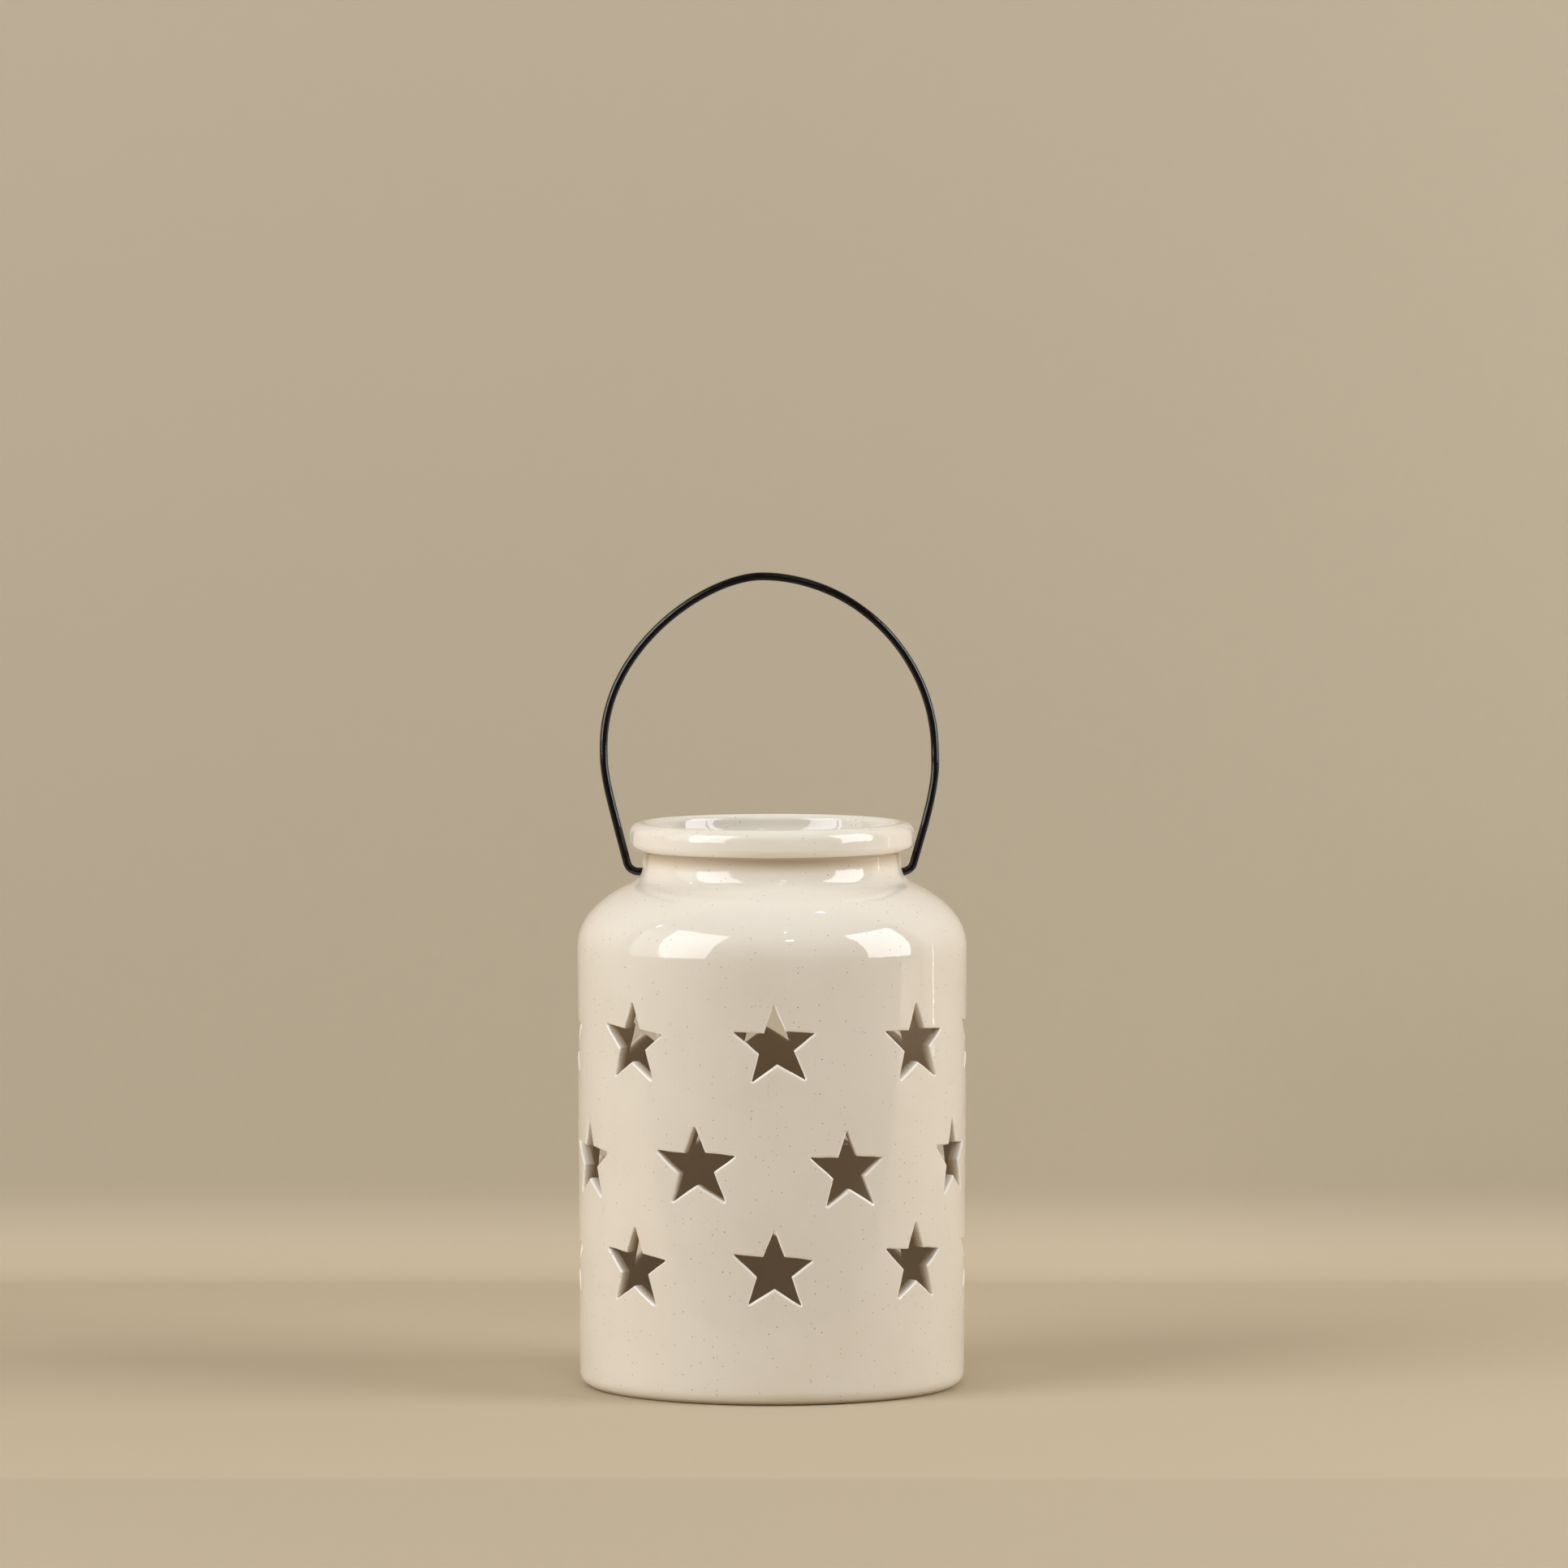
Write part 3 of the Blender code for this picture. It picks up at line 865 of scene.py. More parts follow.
@dataclass(frozen=True)
class StarOpening(Opening):
    """A five-pointed star cut freehand, with slightly rounded tips and notches."""

    roll: float
    width: float
    seed: float
    tip_reach: float
    notch_reach: float
    fan_margin: float = 0.0012
    tip_round: float = 0.00025
    notch_round: float = 0.0004
    least_round: float = 0.00012
    points: int = 5
    tip_points: int = 5
    notch_points: int = 3
    side_points: tuple[int, ...] = (2, 10, 8, 8, 2, 2, 8, 8, 10, 2)
    shake: float = 0.00022
    shake_length: float = 5 * MM
    seed_step: float = 7.3
    tip_strays: tuple[Place, ...] = (
        (0.00038, -0.00029),
        (-0.0006, -0.0012),
        (0.00058, -0.00063),
        (-0.00047, 0.00035),
        (0.00012, 0.00181),
    )

    def corners(self) -> list[Vector]:
        """Gives the star's tips and notches in turn.

        Returns:
            The corners, clockwise from its top tip.
        """
        turn = Matrix.Rotation(-self.roll, 2)
        corners = []
        for k in range(2 * self.points):
            reach = self.notch_reach if k % 2 else self.tip_reach
            angle = FULL_TURN * k / (2 * self.points)
            corner = Vector((reach * math.sin(angle), reach * math.cos(angle)))
            if k % 2 == 0:
                corner += Vector(self.tip_strays[k // 2])
            corners.append(turn @ Vector((corner.x * self.width, corner.y)))
        return corners

    def ring(self, spread: float) -> list[Vector]:
        """Gives the star's outline, widened by spread.

        Args:
            spread: How far the outline moves out of the opening, into the wall.

        Returns:
            The points, clockwise from the middle of the top tip.
        """
        corners = self.corners()
        count = len(corners)
        arcs = []
        for k, corner in enumerate(corners):
            into = (corner - corners[k - 1]).normalized()
            out_of = (corners[(k + 1) % count] - corner).normalized()
            first, last = Vector((-into.y, into.x)), Vector((-out_of.y, out_of.x))
            bend = math.atan2(first.x * last.y - first.y * last.x, first.dot(last))
            to_bisector = (first + last) / (1.0 + first.dot(last))
            if k % 2:
                radius = -max(self.notch_round - spread, self.least_round)
                centre = corner + to_bisector * (spread - radius)
            else:
                radius = self.tip_round + spread
                centre = corner - to_bisector * self.tip_round
            turns = stretch(0.0, bend, (self.notch_points if k % 2 else self.tip_points) - 1)
            arcs.append([centre + radius * (Matrix.Rotation(turn, 2) @ first) for turn in turns])
        points = []
        for k, round_part in enumerate(arcs):
            points += round_part
            start, end = round_part[-1], arcs[(k + 1) % count][0]
            shares = stretch(0.0, 1.0, self.side_points[k] + 1)[1:-1]
            points += [start.lerp(end, share) for share in shares]
        middle = self.tip_points // 2
        points = points[middle:] + points[:middle]
        return [point + self.strayed(point) for point in points]

    def strayed(self, point: Vector) -> Vector:
        """Gives the small stray of the knife.

        Args:
            point: A point of the outline.

        Returns:
            How far the knife strayed there.
        """
        place = Vector((point.x, point.y, 0.0)) / self.shake_length
        wander = noise.noise_vector(place + Vector((0.0, 0.0, self.seed_step * self.seed)))
        return self.shake * Vector((wander.x, wander.y))


@dataclass(frozen=True)
class RoundOpening(Opening):
    """A drilled hole."""

    radius: float
    fan_margin: float = 0.0003
    points: int = 32

    def ring(self, spread: float) -> list[Vector]:
        """Gives the hole's outline, widened by spread.

        Args:
            spread: How far the outline moves out of the opening, into the wall.

        Returns:
            The points, clockwise from the top.
        """
        reach = self.radius + spread
        angles = [FULL_TURN * k / self.points for k in range(self.points)]
        return [Vector((reach * math.sin(a), reach * math.cos(a))) for a in angles]


@dataclass(frozen=True)
class Window:
    """The patch of one skin's grid that an opening takes the place of."""

    column: int
    half_columns: int
    top: int
    bottom: int

    def rows(self) -> list[int]:
        """Gives the patch's rows from top to bottom."""
        step = 1 if self.bottom > self.top else -1
        return list(range(self.top, self.bottom + step, step))

    def border(self) -> list[tuple[int, int]]:
        """Walks round the border.

        Returns:
            The row and column of each vertex, clockwise from the top's middle.
        """
        left, right = self.column - self.half_columns, self.column + self.half_columns
        rows = self.rows()
        keys = [(self.top, c) for c in range(self.column, right)]
        keys += [(r, right) for r in rows[:-1]]
        keys += [(self.bottom, c) for c in range(right, left, -1)]
        keys += [(r, left) for r in reversed(rows[1:])]
        keys += [(self.top, c) for c in range(left, self.column)]
        return keys

    def inside(self) -> list[tuple[int, int]]:
        """Gives the row and column of each vertex within the border."""
        columns = range(self.column - self.half_columns + 1, self.column + self.half_columns)
        return [(r, c) for r in self.rows()[1:-1] for c in columns]


@dataclass(frozen=True)
class StarRow:
    """One row of star windows."""

    height: float
    shift: float
    cuts: dict[int, StarCut]
    wave_step: float = 0.38
    wave_turn: float = 1.2
    wave_lift: float = 0.0007
    wave_roll: float = 1.8

    def cut(self, place: int, lift_of: float) -> StarCut:
        """Gives the cut of the star at a place.

        Args:
            place: The star's place, counted from the front towards +X.
            lift_of: The share of a full wave that this row's height stands for.

        Returns:
            The measured cut of a star that the photograph shows, or else an even wave's cut.
        """
        if place in self.cuts:
            return self.cuts[place]
        wave = FULL_TURN * (self.wave_step * place + lift_of)
        turn, lift, roll = math.sin(wave), math.cos(2 * wave), math.sin(3 * wave)
        return StarCut(self.wave_turn * turn, self.wave_lift * lift, self.wave_roll * roll, 1.0)


@dataclass(frozen=True)
class PotSteps:
    """How many steps each stretch of the pot's section has, and each edge of its openings."""

    floor: int = 8
    floor_corner: int = 8
    below_stars: int = 12
    star: int = 28
    between_stars: int = 6
    above_stars: int = 7
    shoulder: int = 20
    inner_fillet: int = 12
    outer_fillet: int = 8
    mouth: int = 12
    mouth_edge: int = 8
    rim_edge: int = 10
    under_rim: int = 5
    foot_edge: int = 10
    foot_ring: int = 4
    recess: int = 6
    outer_cut: int = 5
    inner_cut: int = 3


@dataclass
class GlazedPot:
    """The pot: wall, shoulder, neck and rolled rim in one piece, with its stars and wire holes."""

    finish: CreamGlaze
    wall_radius: float
    height: float
    pivot_height: float
    foot_radius: float = 0.0719
    wall_height: float = 0.1642
    wall_thickness: float = 0.0045
    floor_thickness: float = 0.0055
    floor_round: float = 0.007
    foot_round: float = 0.005
    foot_ring_width: float = 0.009
    foot_recess: float = 0.0008
    shoulder_rise: float = 0.0235
    shoulder_slope: float = math.radians(23.7)
    shoulder_low_pull: float = 0.506
    shoulder_high_pull: float = 0.476
    neck_radius: float = 0.0483
    neck_fillet: float = 0.0074
    neck_rows_below_rim: Place = (0.0026, 0.0041)
    rim_height: float = 0.0104
    rim_overhang: float = 0.00485
    rim_upper_round: float = 0.0039
    rim_lower_round: float = 0.0032
    under_rim_round: float = 0.0012
    flare_below_rim: float = 0.0012
    mouth_flare: float = 0.0028
    mouth_flare_height: float = 0.0059
    mouth_round: float = 0.0025
    columns: int = 192
    steps: PotSteps = PotSteps()
    least_side_radius: float = 0.04
    stars_around: int = 8
    star_tip_reach: float = 0.0156
    star_notch_reach: float = 0.0065
    star_half_columns: int = 11
    crowded_half_columns: int = 9
    raised_rows: int = 2
    high_lift: float = 0.002
    star_below: float = 0.0171
    low_stars: float = 0.0498
    low_to_middle: float = 0.0371
    middle_to_top: float = 0.0451
    hole_half_columns: int = 4
    hole_rows: int = 8
    wire_hole_radius: float = 0.0022
    cut_round: float = 0.0009
    inner_cut_round: float = 0.0008
    drill_round: float = 0.0005
    mid_cut_share: float = 0.3
    fan_shares: tuple[float, ...] = (0.68, 0.4, 0.18)
    throwing_wave: float = 0.00012
    throwing_lengths: Place = (38 * MM, 17 * MM)
    short_wave_share: float = 0.4
    short_wave_start: tuple[float, ...] = (3.0, 1.0, 7.0)
    rim_wave_share: float = 1.2
    rim_wave_length: float = 45 * MM
    still_radius: float = 5 * MM
    rows: list[Place] = field(default_factory=list)
    skins: list[Skin] = field(default_factory=list)
    bm: BMesh = field(init=False)
    grid: dict[tuple[int, int], BMVert] = field(init=False)
    tunnels: list[bpy.types.Mesh] = field(default_factory=list)

    def star_layout(self) -> tuple[StarRow, ...]:
        """Gives the rows of stars, with the cuts of those that the photograph shows.

        Returns:
            The low, the middle and the top row.
        """
        low = {
            -4: StarCut(1.5, 0.0062, -1.0, 1.0, size=0.9),
            -3: StarCut(-3.0, 0.0035, 1.5, 1.0),
            -1: StarCut(0.2, -0.0008, -0.45, 1.04),
            0: StarCut(0.7, 0.0, -1.26, 1.014),
            1: StarCut(2.6, 0.0009, -1.72, 0.993),
            3: StarCut(7.0, 0.0044, 1.0, 1.0),
        }
        middle = {
            -4: StarCut(-5.4, 0.0094, -4.0, 0.9, crowded=True),
            -3: StarCut(-1.0, 0.0024, 1.0, 1.0),
            -2: StarCut(-2.1, -0.0006, -1.65, 1.086),
            -1: StarCut(-0.3, 0.0007, -3.52, 1.076),
            0: StarCut(0.7, -0.0008, -3.93, 0.992),
            1: StarCut(1.0, 0.0006, -4.44, 0.92),
            2: StarCut(2.0, 0.0024, -1.0, 1.0),
            3: StarCut(5.4, 0.0092, 4.0, 0.9, crowded=True),
        }
        top = {
            -4: StarCut(1.9, 0.0028, 0.5, 0.9),
            -3: StarCut(-1.3, 0.0011, -1.5, 1.0),
            -1: StarCut(-0.4, -0.0001, -1.16, 1.007),
            0: StarCut(1.2, 0.0004, -4.68, 1.033),
            1: StarCut(2.8, -0.0003, -3.94, 1.042),
            3: StarCut(6.8, 0.0046, -1.0, 1.0),
        }
        middle_height = self.low_stars + self.low_to_middle
        return (
            StarRow(self.low_stars, 0.0, low),
            StarRow(middle_height, 0.5, middle),
            StarRow(middle_height + self.middle_to_top, 0.0, top),
        )

    def neck_foot(self) -> float:
        """Gives the height at which the neck's straight wall would meet the shoulder."""
        return self.wall_height + self.shoulder_rise

    def underside(self) -> float:
        """Gives the height of the rim's underside."""
        return self.height - self.rim_height

    def fillet_centre(self) -> Place:
        """Gives the middle of the fillet between the neck and the shoulder."""
        height = self.neck_foot() + self.neck_fillet * math.cos(self.shoulder_slope)
        return self.neck_radius + self.neck_fillet, height

    def fillet(self, wall: float, steps: int) -> list[Place]:
        """Gives the fillet's arc, a wall's thickness deeper, from the neck down."""
        end = 270 - math.degrees(self.shoulder_slope)
        return arc(self.fillet_centre(), self.neck_fillet + wall, 180, end, steps)

    def shoulder(self) -> list[Place]:
        """Draws the outer shoulder.

        Returns:
            Its points, from the end of the fillet down to the wall.
        """
        slope = self.shoulder_slope
        start, end = self.fillet(0.0, 1)[-1], (self.wall_radius, self.wall_height)
        high = self.shoulder_high_pull * (end[0] - start[0])
        start_pull = (start[0] + high * math.cos(slope), start[1] - high * math.sin(slope))
        end_pull = (end[0], end[1] + self.shoulder_low_pull * self.shoulder_rise)
        return bezier(start, start_pull, end_pull, end, self.steps.shoulder)

    def wall_at(self, height: float, depth: float) -> float:
        """Gives the wall's radius at a height, a depth below its outer skin."""
        share = (height - self.foot_round) / (self.wall_height - self.foot_round)
        return self.foot_radius + share * (self.wall_radius - self.foot_radius) - depth

    def neck_at(self, height: float, depth: float) -> float:
        """Finds how wide the neck is.

        Args:
            height: The height.
            depth: How far below the outer skin.

        Returns:
            The radius there.
        """
        centre_x, centre_z = self.fillet_centre()
        if height >= centre_z:
            return self.neck_radius - depth
        reach = self.neck_fillet + depth
        return centre_x - math.sqrt(reach**2 - (centre_z - height) ** 2)

    def wall_heights(self, lowest: float) -> list[float]:
        """Gives the heights of the wall's rows, denser where the stars are.

        Args:
            lowest: The height of the first row.

        Returns:
            The heights from the lowest row to the shoulder.
        """
        steps = self.steps
        low = self.low_stars - self.star_below
        middle = low + self.low_to_middle
        top = middle + self.middle_to_top
        ends = (
            (middle, steps.star),
            (middle + self.low_to_middle, steps.star),
            (top, steps.between_stars),
            (top + self.low_to_middle, steps.star),
            (self.wall_height, steps.above_stars),
        )
        heights = stretch(lowest, low, steps.below_stars)
        start = low
        for end, count in ends:
            heights += stretch(start, end, count)[1:]
            start = end
        return heights

    def neck_rows(self, radius: float) -> list[Place]:
        """Gives the neck's straight rows from its top to the fillet."""
        heights = [self.underside() - below for below in self.neck_rows_below_rim]
        return [(radius, z) for z in (*heights, self.fillet_centre()[1])]

    def lip(self) -> list[Place]:
        """Draws the rolled rim.

        Returns:
            Its points, from inside the neck, over the rim, to the neck below it.
        """
        steps, top, underside = self.steps, self.height, self.underside()
        upper, lower, under = self.rim_upper_round, self.rim_lower_round, self.under_rim_round
        inside = self.neck_radius - self.wall_thickness
        mouth = inside + self.mouth_flare
        rim_radius = self.neck_radius + self.rim_overhang
        half = self.mouth_flare_height / 2
        points = bezier(
            (inside, underside - self.flare_below_rim),
            (inside, underside + half),
            (mouth, underside + self.mouth_flare_height - half),
            (mouth, top - self.mouth_round),
            steps.mouth,
        )
        edge = (mouth + self.mouth_round, top - self.mouth_round)
        points += arc(edge, self.mouth_round, 180, 90, steps.mouth_edge)
        points += arc((rim_radius - upper, top - upper), upper, 90, 0, steps.rim_edge)
        points += arc((rim_radius - lower, underside + lower), lower, 0, -90, steps.rim_edge)
        points += arc((self.neck_radius + under, underside - under), under, 90, 180, steps.under_rim)
        return points

    def section(self) -> None:
        """Draws the pot's section from the middle of its inside floor to the middle of its foot."""
        steps, wall = self.steps, self.wall_thickness
        inside_foot = self.floor_thickness + self.floor_round
        inner_x = self.wall_at(inside_foot, wall) - self.floor_round
        inner = [(x, self.floor_thickness) for x in stretch(0.0, inner_x, steps.floor)]
        inner += arc((inner_x, inside_foot), self.floor_round, -90, 0, steps.floor_corner)
        inner += [(self.wall_at(z, wall), z) for z in self.wall_heights(inside_foot)]
        inner += moved_inwards(self.shoulder(), wall)[-2::-1]
        inner += self.fillet(wall, steps.inner_fillet)[::-1]
        inner += self.neck_rows(self.neck_radius - wall)[::-1]
        outer = self.lip() + self.neck_rows(self.neck_radius)
        outer += self.fillet(0.0, steps.outer_fillet) + self.shoulder()
        outer += [(self.wall_at(z, 0.0), z) for z in reversed(self.wall_heights(self.foot_round))]
        foot_x = self.foot_radius - self.foot_round
        ring_inside = foot_x - self.foot_ring_width
        recess_start = ring_inside - self.foot_recess
        outer += arc((foot_x, self.foot_round), self.foot_round, 0, -90, steps.foot_edge)
        outer += [(x, 0.0) for x in stretch(foot_x, ring_inside, steps.foot_ring)]
        outer += [(x, self.foot_recess) for x in stretch(recess_start, 0.0, steps.recess)]
        inner, outer = without_repeats(inner), without_repeats(outer)
        self.rows = inner + outer
        self.skins = [Skin.INNER] * len(inner) + [Skin.OUTER] * len(outer)

    def row_at(self, skin: Skin, height: float) -> int:
        """Finds the row of a skin that is nearest to a height on the wall or the neck.

        Args:
            skin: The side of the wall.
            height: The height.

        Returns:
            The row's number.
        """
        numbers = [k for k, row in enumerate(self.rows) if row[0] > self.least_side_radius]
        side_rows = [k for k in numbers if self.skins[k] is skin]
        return min(side_rows, key=lambda k: abs(self.rows[k][1] - height))

    def star_window(self, skin: Skin, row: StarRow, place: int, cut: StarCut) -> Window:
        """Gives the patch that a star takes from a skin.

        Args:
            skin: The side of the wall.
            row: The star's row.
            place: Its place in the row, counted from the front.
            cut: How it was cut; a star that sits high takes a patch that does too.

        Returns:
            The patch, with as many border vertices as the star has points.
        """
        step = 1 if skin is Skin.OUTER else -1
        columns_apart = self.columns // self.stars_around
        half = self.crowded_half_columns if cut.crowded else self.star_half_columns
        limit = columns_apart // 2 - half
        slide = round(math.radians(cut.turn) / FULL_TURN * self.columns)
        column = round((place + row.shift) * columns_apart) + max(-limit, min(limit, slide))
        raised = self.raised_rows if cut.lift > self.high_lift else 0
        bottom = self.row_at(skin, row.height - self.star_below) - step * raised
        tall = self.steps.star + 2 * (self.star_half_columns - half)
        return Window(column, half, bottom - step * tall, bottom)

    def hole_window(self, skin: Skin, column: int) -> Window:
        """Gives the patch that a wire hole takes from a skin of the neck.

        Args:
            skin: The side of the neck's wall.
            column: The column of the hole's middle.

        Returns:
            The patch.
        """
        inner_below, outer_below = self.neck_rows_below_rim
        outside = skin is Skin.OUTER
        top = self.row_at(skin, self.underside() - (outer_below if outside else inner_below))
        down = self.hole_rows if outside else -self.hole_rows
        return Window(column, self.hole_half_columns, top, top + down)

    def opened(self, window: Window) -> list[Vector]:
        """Takes a patch out of its skin.

        Args:
            window: The patch.

        Returns:
            The places of the vertices around it, clockwise from the top's middle.
        """
        keys = [(row, column % self.columns) for row, column in window.inside()]
        bmesh.ops.delete(self.bm, geom=[self.grid.pop(key) for key in keys], context="VERTS")
        return [self.grid[row, column % self.columns].co.copy() for row, column in window.border()]

    def cut(
        self,
        windows: tuple[Window, Window],
        azimuth: float,
        height: float,
        opening: Opening,
        rounds: tuple[float, float],
        radius_at: Callable[[float, float], float],
    ) -> None:
        """Cuts an opening through the wall, square to it, with rounded edges.

        Args:
            windows: The patches that it takes from the outer and the inner skin.
            azimuth: The opening's middle, in radians.
            height: The height of its middle.
            opening: Its outline.
            rounds: The radius of its outer and of its inner edge.
            radius_at: Gives the wall's radius at a height and a depth.
        """
        wall = self.wall_thickness
        margin = opening.fan_margin
        outer_round, inner_round = rounds
        outer_border, inner_border = (self.opened(window) for window in windows)
        rings = []

        def spots(spread: float, depth: float) -> list[Place]:
            """Gives the turn from the opening's middle and the height of each outline point."""
            outline = [(point.x, height + point.y) for point in opening.ring(spread)]
            return [(math.asin(across / radius_at(level, depth)), level) for across, level in outline]

        def add_ring(found: Sequence[Place], depth: float, share: float = 0.0) -> None:
            """Adds the ring of the spots at a depth, and how much it belongs to the cut edge."""
            places = [around(azimuth + turn, radius_at(z, depth), z) for turn, z in found]
            rings.append((places, share))

        def between(border: Sequence[Vector], found: Sequence[Place], share: float) -> list[Place]:
            """Finds the spots that lie a share of the way from an outline out to a border.

            Args:
                border: The border's places.
                found: The outline's spots.
                share: 0 for the outline and 1 for the border.

            Returns:
                The spots.
            """
            flat = radius_at(height, 0.0)
            edge = [(flat * wrapped(azimuth_of(place) - azimuth), place.z - height) for place in border]
            hole = [(flat * turn, level - height) for turn, level in found]
            return [(across / flat, height + up) for across, up in fanned(hole, edge, share)]

        near, far = spots(outer_round + margin, 0.0), spots(inner_round + margin, wall)
        for share in self.fan_shares:
            add_ring(between(outer_border, near, share), 0.0)
        for spread in (margin, margin / 3):
            add_ring(spots(outer_round + spread, 0.0), 0.0)
        # Each ring's share of the glaze's painted edge highlight grows over the outer rounding. It falls
        # to mid_cut_share halfway through the wall and is gone at the inner rounding.
        for bend in stretch(0.0, math.pi / 2, self.steps.outer_cut):
            spread, depth = outer_round * (1 - math.sin(bend)), outer_round * (1 - math.cos(bend))
            add_ring(spots(spread, depth), depth, math.sin(bend))
        depth = (outer_round + wall - inner_round) / 2
        add_ring(spots(0.0, depth), depth, self.mid_cut_share)
        for bend in stretch(math.pi / 2, 0.0, self.steps.inner_cut):
            spread, depth = inner_round * (1 - math.sin(bend)), wall - inner_round * (1 - math.cos(bend))
            add_ring(spots(spread, depth), depth)
        add_ring(far, wall)
        for share in reversed(self.fan_shares):
            add_ring(between(inner_border, far, share), wall)
        rings.append((inner_border, 0.0))
        self.grow_tunnel(outer_border, rings)

    def grow_tunnel(self, border: Sequence[Vector], rings: Sequence[Ring]) -> None:
        """Grows an opening's sides ring by ring, in a mesh that joins the pot later.

        Args:
            border: The places of the ring that they start at.
            rings: The places of each ring after it, and how much it belongs to the cut edge.
        """
        tunnel = bmesh.new()
        edge_layer = tunnel.verts.layers.float.new(CUT_EDGE)
        ring = bmesh.ops.create_circle(tunnel, segments=len(border), radius=1.0)["verts"]
        for vertex, place in zip(ring, border):
            vertex.co = place
        for places, share in rings:
            ring = grow(tunnel, ring, places)
            for vertex in ring:
                vertex[edge_layer] = share
        mesh = bpy.data.meshes.new("tunnel")
        tunnel.to_mesh(mesh)
        tunnel.free()
        self.tunnels.append(mesh)

    def cut_stars(self) -> None:
        """Cuts the three rows of star windows."""
        first = -(self.stars_around // 2)
        rounds = (self.cut_round, self.inner_cut_round)
        for number, row in enumerate(self.star_layout()):
            lift_of = row.height / self.middle_to_top
            for place in range(first, first + self.stars_around):
                cut = row.cut(place, lift_of)
                azimuth = FULL_TURN * (place + row.shift) / self.stars_around + math.radians(cut.turn)
                star = StarOpening(
                    math.radians(cut.roll),
                    cut.width,
                    seed=10.0 * number + place,
                    tip_reach=cut.size * self.star_tip_reach,
                    notch_reach=cut.size * self.star_notch_reach,
                )
                windows = tuple(self.star_window(skin, row, place, cut) for skin in Skin)
                self.cut(windows, azimuth, row.height + cut.lift, star, rounds, self.wall_at)

    def drill_wire_holes(self) -> None:
        """Drills the two holes in the neck that the wire turns in."""
        hole = RoundOpening(self.wire_hole_radius)
        rounds = (self.drill_round, self.drill_round)
        for side in Side:
            column = side.value * self.columns // 4
            windows = tuple(self.hole_window(skin, column) for skin in Skin)
            azimuth = side.value * math.pi / 2
            self.cut(windows, azimuth, self.pivot_height, hole, rounds, self.neck_at)

    def make_hand_thrown(self) -> None:
        """Gives the turned skin the slight waves of a real pot."""
        long, short = self.throwing_lengths
        start = Vector(self.short_wave_start)
        for vertex in self.bm.verts:
            away = vertex.co.xy.length
            if away < self.still_radius or vertex.co.z < self.foot_round:
                continue
            short_wave = noise.noise(vertex.co / short + start)
            wave = noise.noise(vertex.co / long) + self.short_wave_share * short_wave
            vertex.co.xy *= 1.0 + self.throwing_wave * wave / away
            rise = max(0.0, vertex.co.z - self.neck_foot()) / (self.height - self.neck_foot())
            lift = self.rim_wave_share * self.throwing_wave * rise
            vertex.co.z += lift * noise.noise(vertex.co / self.rim_wave_length)

    def build(self) -> bpy.types.Object:
        """Builds the whole pot.

        Returns:
            The pot.
        """
        self.section()
        self.bm, self.grid = turned(self.rows, self.columns)
        self.cut_stars()
        self.drill_wire_holes()
        for tunnel in self.tunnels:
            self.bm.from_mesh(tunnel)
            bpy.data.meshes.remove(tunnel)
        borders = [vertex for vertex in self.bm.verts if vertex.is_boundary or vertex.is_wire]
        bmesh.ops.remove_doubles(self.bm, verts=borders, dist=WELD_REACH)
        self.make_hand_thrown()
        material = self.finish.material()
        return finished(self.bm, "glazed_pot", material, Body.POT, ["ceramic_pot"])


@dataclass(frozen=True)
class Leg:
    """One side of the wire's arch, from the crown to its tip in the neck."""

    side: Side
    lean: float
    rim_gap: float
    bulge: float
    widest_above_pivot: float
    crown_pull: float
    upper_pull: float
    lower_pull: float
    rim_pull: float


@dataclass(frozen=True)
class WireSteps:
    """How many steps each stretch of the wire has."""

    crown: int = 54
    leg: int = 26
    outer_bend: int = 12
    through_neck: int = 6
    inner_bend: int = 10
    tip: int = 4
    end: int = 4


